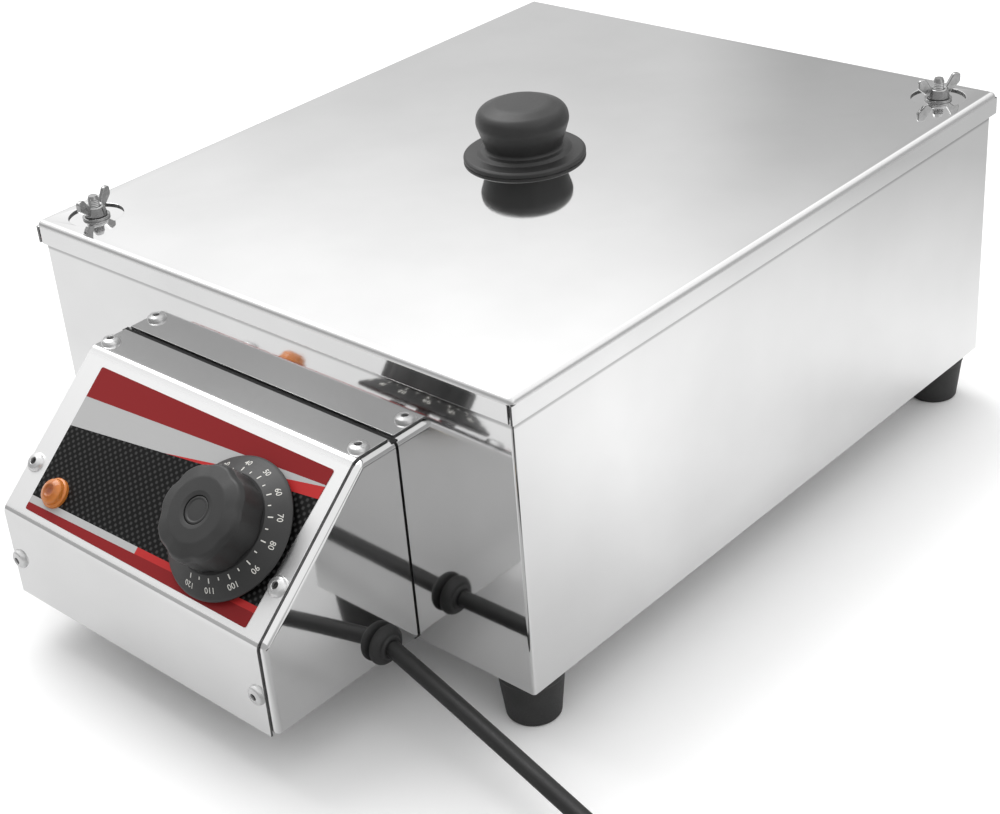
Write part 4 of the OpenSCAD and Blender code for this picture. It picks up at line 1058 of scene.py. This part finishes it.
# cord grommet in the right side panel
grommetShape = {
    "place": (75.0, -145.5, 33.0),
    "profile": [(3.6, -4.0, 0), (6.5, -4.0, 0.5), (6.5, -1.0, 0.5), (5.0, -1.0, 0), (5.0, 0.0, 0),
                (6.6, 0.0, 0.8), (8.25, 1.2, 1.6), (8.25, 3.2, 2.2), (6.4, 5.0, 1.2), (5.2, 5.1, 0.4),
                (4.5, 6.0, 0.3), (3.6, 6.0, 0)],
    "facets": 48,
}


def makeGrommet(shape):
    ring = lathe(shape["profile"], True, shape["facets"])
    sideways = at(*shape["place"]) @ Matrix.Rotation(quarter, 4, "Y")
    finishPiece("cordGrommet", placed(ring, sideways), "black_rubber", replaced=["cord_grommet"])


makeGrommet(grommetShape)
print("dial, lamp and grommet made")


# power cord: out of the grommet, down to the floor, then wound up out of sight
cordShape = {
    "diameter": 7.0,
    "start": (81.0, -145.5, 33.0),
    "coilStart": (298.0, -181.5, 5.0),
    "startHeading": -8.5,
    "startDip": -0.12,
    "coilHeading": -15.0,
    "dropReach": 80.0,
    "coilReach": 30.0,
    "dropPoints": 36,
    "innerRadius": 28.5,
    "pitch": 7.6,
    "sweep": 1965.0,
    "step": 5.0,
    "roundness": 5,
}


def headingVector(degrees):
    return Vector((math.cos(math.radians(degrees)), math.sin(math.radians(degrees)), 0))


def easyCurve(start, startReach, end, endReach, count):
    a, d = Vector(start), Vector(end)
    b, c = a + startReach, d - endReach
    points = []
    for i in range(count + 1):
        t = i / count
        points.append((1 - t) ** 3 * a + 3 * t * (1 - t) ** 2 * b + 3 * t * t * (1 - t) * c + t ** 3 * d)
    return points


def easeInOut(t):
    t = min(max(t, 0), 1)
    return t * t * (3 - 2 * t)


def cordRoute(shape):
    coilWay = headingVector(shape["coilHeading"])
    startWay = (headingVector(shape["startHeading"]) + Vector((0, 0, shape["startDip"]))).normalized()
    route = easyCurve(shape["start"], shape["dropReach"] * startWay, shape["coilStart"],
                      shape["coilReach"] * coilWay, shape["dropPoints"])
    half, pitch, low = shape["sweep"] / 2, shape["pitch"], shape["coilStart"][2]
    outRadius = shape["innerRadius"] + pitch * half / 360
    inwards = Vector((coilWay.y, -coilWay.x, 0))
    middle = Vector(shape["coilStart"]) + shape["diameter"] * coilWay + outRadius * inwards
    for i in range(int(shape["sweep"] / shape["step"]) + 1):
        turned = i * shape["step"]
        off = turned - half  # before the half way the turns wind inwards, after it outwards on top
        radius = outRadius - pitch * (half - abs(off)) / 360
        point = middle + radius * headingVector(90 + shape["coilHeading"] - turned)
        point.z = low + pitch * easeInOut(off / 180 + 0.5)
        route.append(point)
    route.append(route[-1] + Vector((-shape["diameter"], 0, 0)))
    return route, middle, outRadius


# plug, its pins and the strap around the coil
plugShape = {
    "relief": [(0, 0, 0), (4.3, 0, 0.3), (7.5, 33, 0), (0, 33, 0)],
    "reliefLength": 33.0,
    "reliefFacets": 40,
    "width": 36.0,
    "height": 25.2,
    "length": 40.0,
    "corner": 6.0,
    "edge": 2.5,
    "pin": [(0, -0.5, 0), (2.0, -0.5, 0), (2.0, 18.2, 0.5), (1.2, 19.0, 0.3), (0, 19.0, 0)],
    "pinFacets": 24,
    "pins": ((-9.5, 0), (9.5, 0), (0, 3.0)),
}
tieShape = {
    "angle": 150.0,
    "width": 9.0,
    "thickness": 1.2,
    "corner": 2.5,
    "fit": 0.3,
    "pulledIn": 5.0,  # the turns it holds lie this far inside the coil's outermost turn
}


def makePlug(shape, start):
    place = at(*start) @ Matrix.Rotation(-quarter, 4, "Z") @ Matrix.Rotation(quarter, 4, "X")
    plug = lathe(shape["relief"], steps=shape["reliefFacets"])
    shell = bmesh.new()
    rectangle(shell, shape["width"], shape["height"], (0, 0, shape["reliefLength"]), shape["corner"])
    pullOutline(shell, (0, 0, shape["length"]))
    roundOff(shell, sharpEdges(shell), shape["edge"], 4)
    closeUp(shell)
    stamp(plug, shell, Matrix())
    shell.free()
    body = finishPiece("plugBody", placed(plug, place), "black_moulding", replaced=["plug_body"], crease=40)
    pin = lathe(shape["pin"], steps=shape["pinFacets"])
    pins = bmesh.new()
    for x, y in shape["pins"]:
        stamp(pins, pin, at(x, y, shape["reliefLength"] + shape["length"]))
    pin.free()
    metal = finishPiece("plugPins", placed(pins, place), "brass", replaced=["plug_pins"], crease=40)
    return [body, metal]


def makeTie(shape, middle, outRadius):
    bm = bmesh.new()
    around = cordShape["diameter"] / 2 + shape["fit"] + shape["thickness"]
    left, right = cordShape["innerRadius"] - around, outRadius - shape["pulledIn"] + around
    high = cordShape["pitch"] + 2 * around
    corners = [(left, 0), (right, 0), (right, high), (left, high)]
    roundedLine(bm, [((x, -shape["width"] / 2, z), shape["corner"]) for x, z in corners], True)
    pullEdges(bm, bm.edges[:], (0, shape["width"], 0))
    faceOutwards(bm)
    turn = turnedBy(shape["angle"])
    place = at(middle.x, middle.y, 0) @ turn
    return finishPiece("cordTie", placed(bm, place), "cord_tie", replaced=["cord_tie"],
                       sheet=shape["thickness"])


def layCord(shape):
    route, middle, outRadius = cordRoute(shape)
    line = bpy.data.curves.new("powerCord", "CURVE")
    line.dimensions = "3D"
    line.bevel_depth = shape["diameter"] / 2 * mm
    line.bevel_resolution = shape["roundness"]
    line.use_fill_caps = True
    spline = line.splines.new("POLY")
    spline.points.add(len(route) - 1)
    for knot, point in zip(spline.points, route):
        knot.co = (*(point * mm), 1)
    cord = addObject("powerCord", line)
    line.materials.append(finishes["cord_sheath"])
    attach(cord, "tank")
    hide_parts("power_cord", "power_cord_coil")
    fittings = makePlug(plugShape, route[-1]) + [makeTie(tieShape, middle, outRadius)]


layCord(cordShape)

# solids that stay as they are get the finish of their slot
for row in frame["record"]["subparts"]:
    solid = cadNodes[row["node"]]
    solid.data.materials.clear()
    solid.data.materials.append(finishes[row["material_slot"]])
print("finishes given to", len(cadNodes), "nodes")


# pale floor; for the steel's reflections and bounced light it carries painted shade and light: a little
# greyer than the camera sees it, darker in front and far to the right, lighter near the right wall, and
# greyest at the front right
floorLook = {
    "seen": grey(1.0),
    "mirrored": grey(0.78),  # the tones that the steel mirrors
    "front": (grey(0.66), -0.17, -0.23),  # tone, from and to Y
    "near": (grey(0.99), (0.13, 0.17), (-0.14, 0.0)),  # tone, from and to X, from and to Y
    "far": (grey(0.45), 0.6, (0.20, 0.62)),  # tone, share of X, from and to along Y plus that share
    "beside": (grey(0.76), -0.18, -0.265),  # tone, from and to Y minus X
    "corner": (grey(0.41), (0.06, 0.12), (-0.12, -0.19)),  # tone, from and to X, from and to Y
    "white": (0.17, 0.14, 0.20),  # painted light: a camera-only glow that lifts the floor's shadow towards the white of the backdrop; strength, from and to X
    "roughness": 0.9,
    "size": 6.0,
}


def floorTones(tree, look, x, y):
    def within(patch):
        masks = [spread(tree, way, 0, 1, *ends) for way, ends in zip((x, y), patch)]
        return calculate(tree, "MULTIPLY", *masks)

    # painted shade and light: floor tones that only reflections and bounced light see
    tone = blendColours(tree, spread(tree, y, 0, 1, *look["front"][1:]), look["mirrored"], look["front"][0])
    distance = calculate(tree, "MULTIPLY_ADD", x, look["far"][1], y)
    far = spread(tree, distance, 0, 1, *look["far"][2])
    right = blendColours(tree, far, look["near"][0], look["far"][0])
    beside = spread(tree, calculate(tree, "SUBTRACT", y, x), 0, 1, *look["beside"][1:])
    right = blendColours(tree, beside, right, look["beside"][0])
    tone = blendColours(tree, within(look["near"][1:]), tone, right)
    return blendColours(tree, within(look["corner"][1:]), tone, look["corner"][0])


def makeFloor(look):
    bm = bmesh.new()
    bmesh.ops.create_grid(bm, x_segments=1, y_segments=1, size=look["size"])
    mesh = bpy.data.meshes.new("floor")
    bm.to_mesh(mesh)
    bm.free()
    material, tree, shader = startMaterial("paleFloor")
    shader.inputs["Roughness"].default_value = look["roughness"]
    shader.inputs["Specular IOR Level"].default_value = 0.0
    x, y = coordinates(tree, addNode(tree, "ShaderNodeTexCoord").outputs["Object"])[:2]
    straight = addNode(tree, "ShaderNodeLightPath").outputs["Is Camera Ray"]
    tone = blendColours(tree, straight, floorTones(tree, look, x, y), look["seen"])
    feed(tree, tone, shader, "Base Color")
    # painted light: camera-only glow that whitens the floor's shadow to the right of the object
    lift = spread(tree, x, 0, look["white"][0], *look["white"][1:])
    feed(tree, calculate(tree, "MULTIPLY", lift, straight), shader, "Emission Strength")
    shader.inputs["Emission Color"].default_value = (1, 1, 1, 1)
    mesh.materials.append(material)
    floor = addObject("floor", mesh)


makeFloor(floorLook)


# soft studio light: bright overhead, greyer towards the horizon behind and low in front
studio = {
    "over": (0.98, 1.28, -0.3, 0.3),  # front and back, from and to Y
    "horizon": (0.68, 0.473, -0.573, -0.508),  # left and right of it, from and to X
    "horizonTilt": -0.28,
    "rise": (0.113, 0.353),
    "lowFront": 0.43,
    "frontTilt": 0.9,
    "frontTurn": (-0.3, -0.05),
    "frontEdge": (0.02, 0.07),
    "lampPlace": (-2.2, 0.6, 3.8),
    "lampSize": 3.2,
    "lampPower": 80.0,
}


def lightSky(look):
    world = bpy.data.worlds.new("studio")
    scene.world = world
    world.use_nodes = True
    tree = world.node_tree
    background = tree.nodes["Background"]
    x, y, z = coordinates(tree, addNode(tree, "ShaderNodeTexCoord").outputs["Generated"])

    def smooth(source, *ends):
        return spread(tree, source, *ends, "SMOOTHSTEP")

    rise = smooth(calculate(tree, "MULTIPLY_ADD", y, look["horizonTilt"], z), 0, 1, *look["rise"])
    sky = blendValues(tree, rise, smooth(x, *look["horizon"]), smooth(y, *look["over"]))
    below = smooth(calculate(tree, "MULTIPLY_ADD", y, look["frontTilt"], z), 1, 0, *look["frontEdge"])
    front = calculate(tree, "MULTIPLY", smooth(y, 1, 0, *look["frontTurn"]), below)
    level = blendValues(tree, front, sky, look["lowFront"])
    straight = addNode(tree, "ShaderNodeLightPath").outputs["Is Camera Ray"]  # the backdrop itself is white
    feed(tree, calculate(tree, "MAXIMUM", level, straight), background, "Strength")
    background.inputs["Color"].default_value = (1, 1, 1, 1)


def hangLamp(look):
    lamp = bpy.data.lights.new("softLamp", "AREA")
    lamp.shape = "DISK"
    lamp.size = look["lampSize"]
    lamp.energy = look["lampPower"]
    holder = addObject("softLamp", lamp)
    holder.location = look["lampPlace"]
    holder.rotation_euler = (-Vector(look["lampPlace"])).to_track_quat("-Z", "Y").to_euler()


lightSky(studio)
hangLamp(studio)
print("floor and light set")
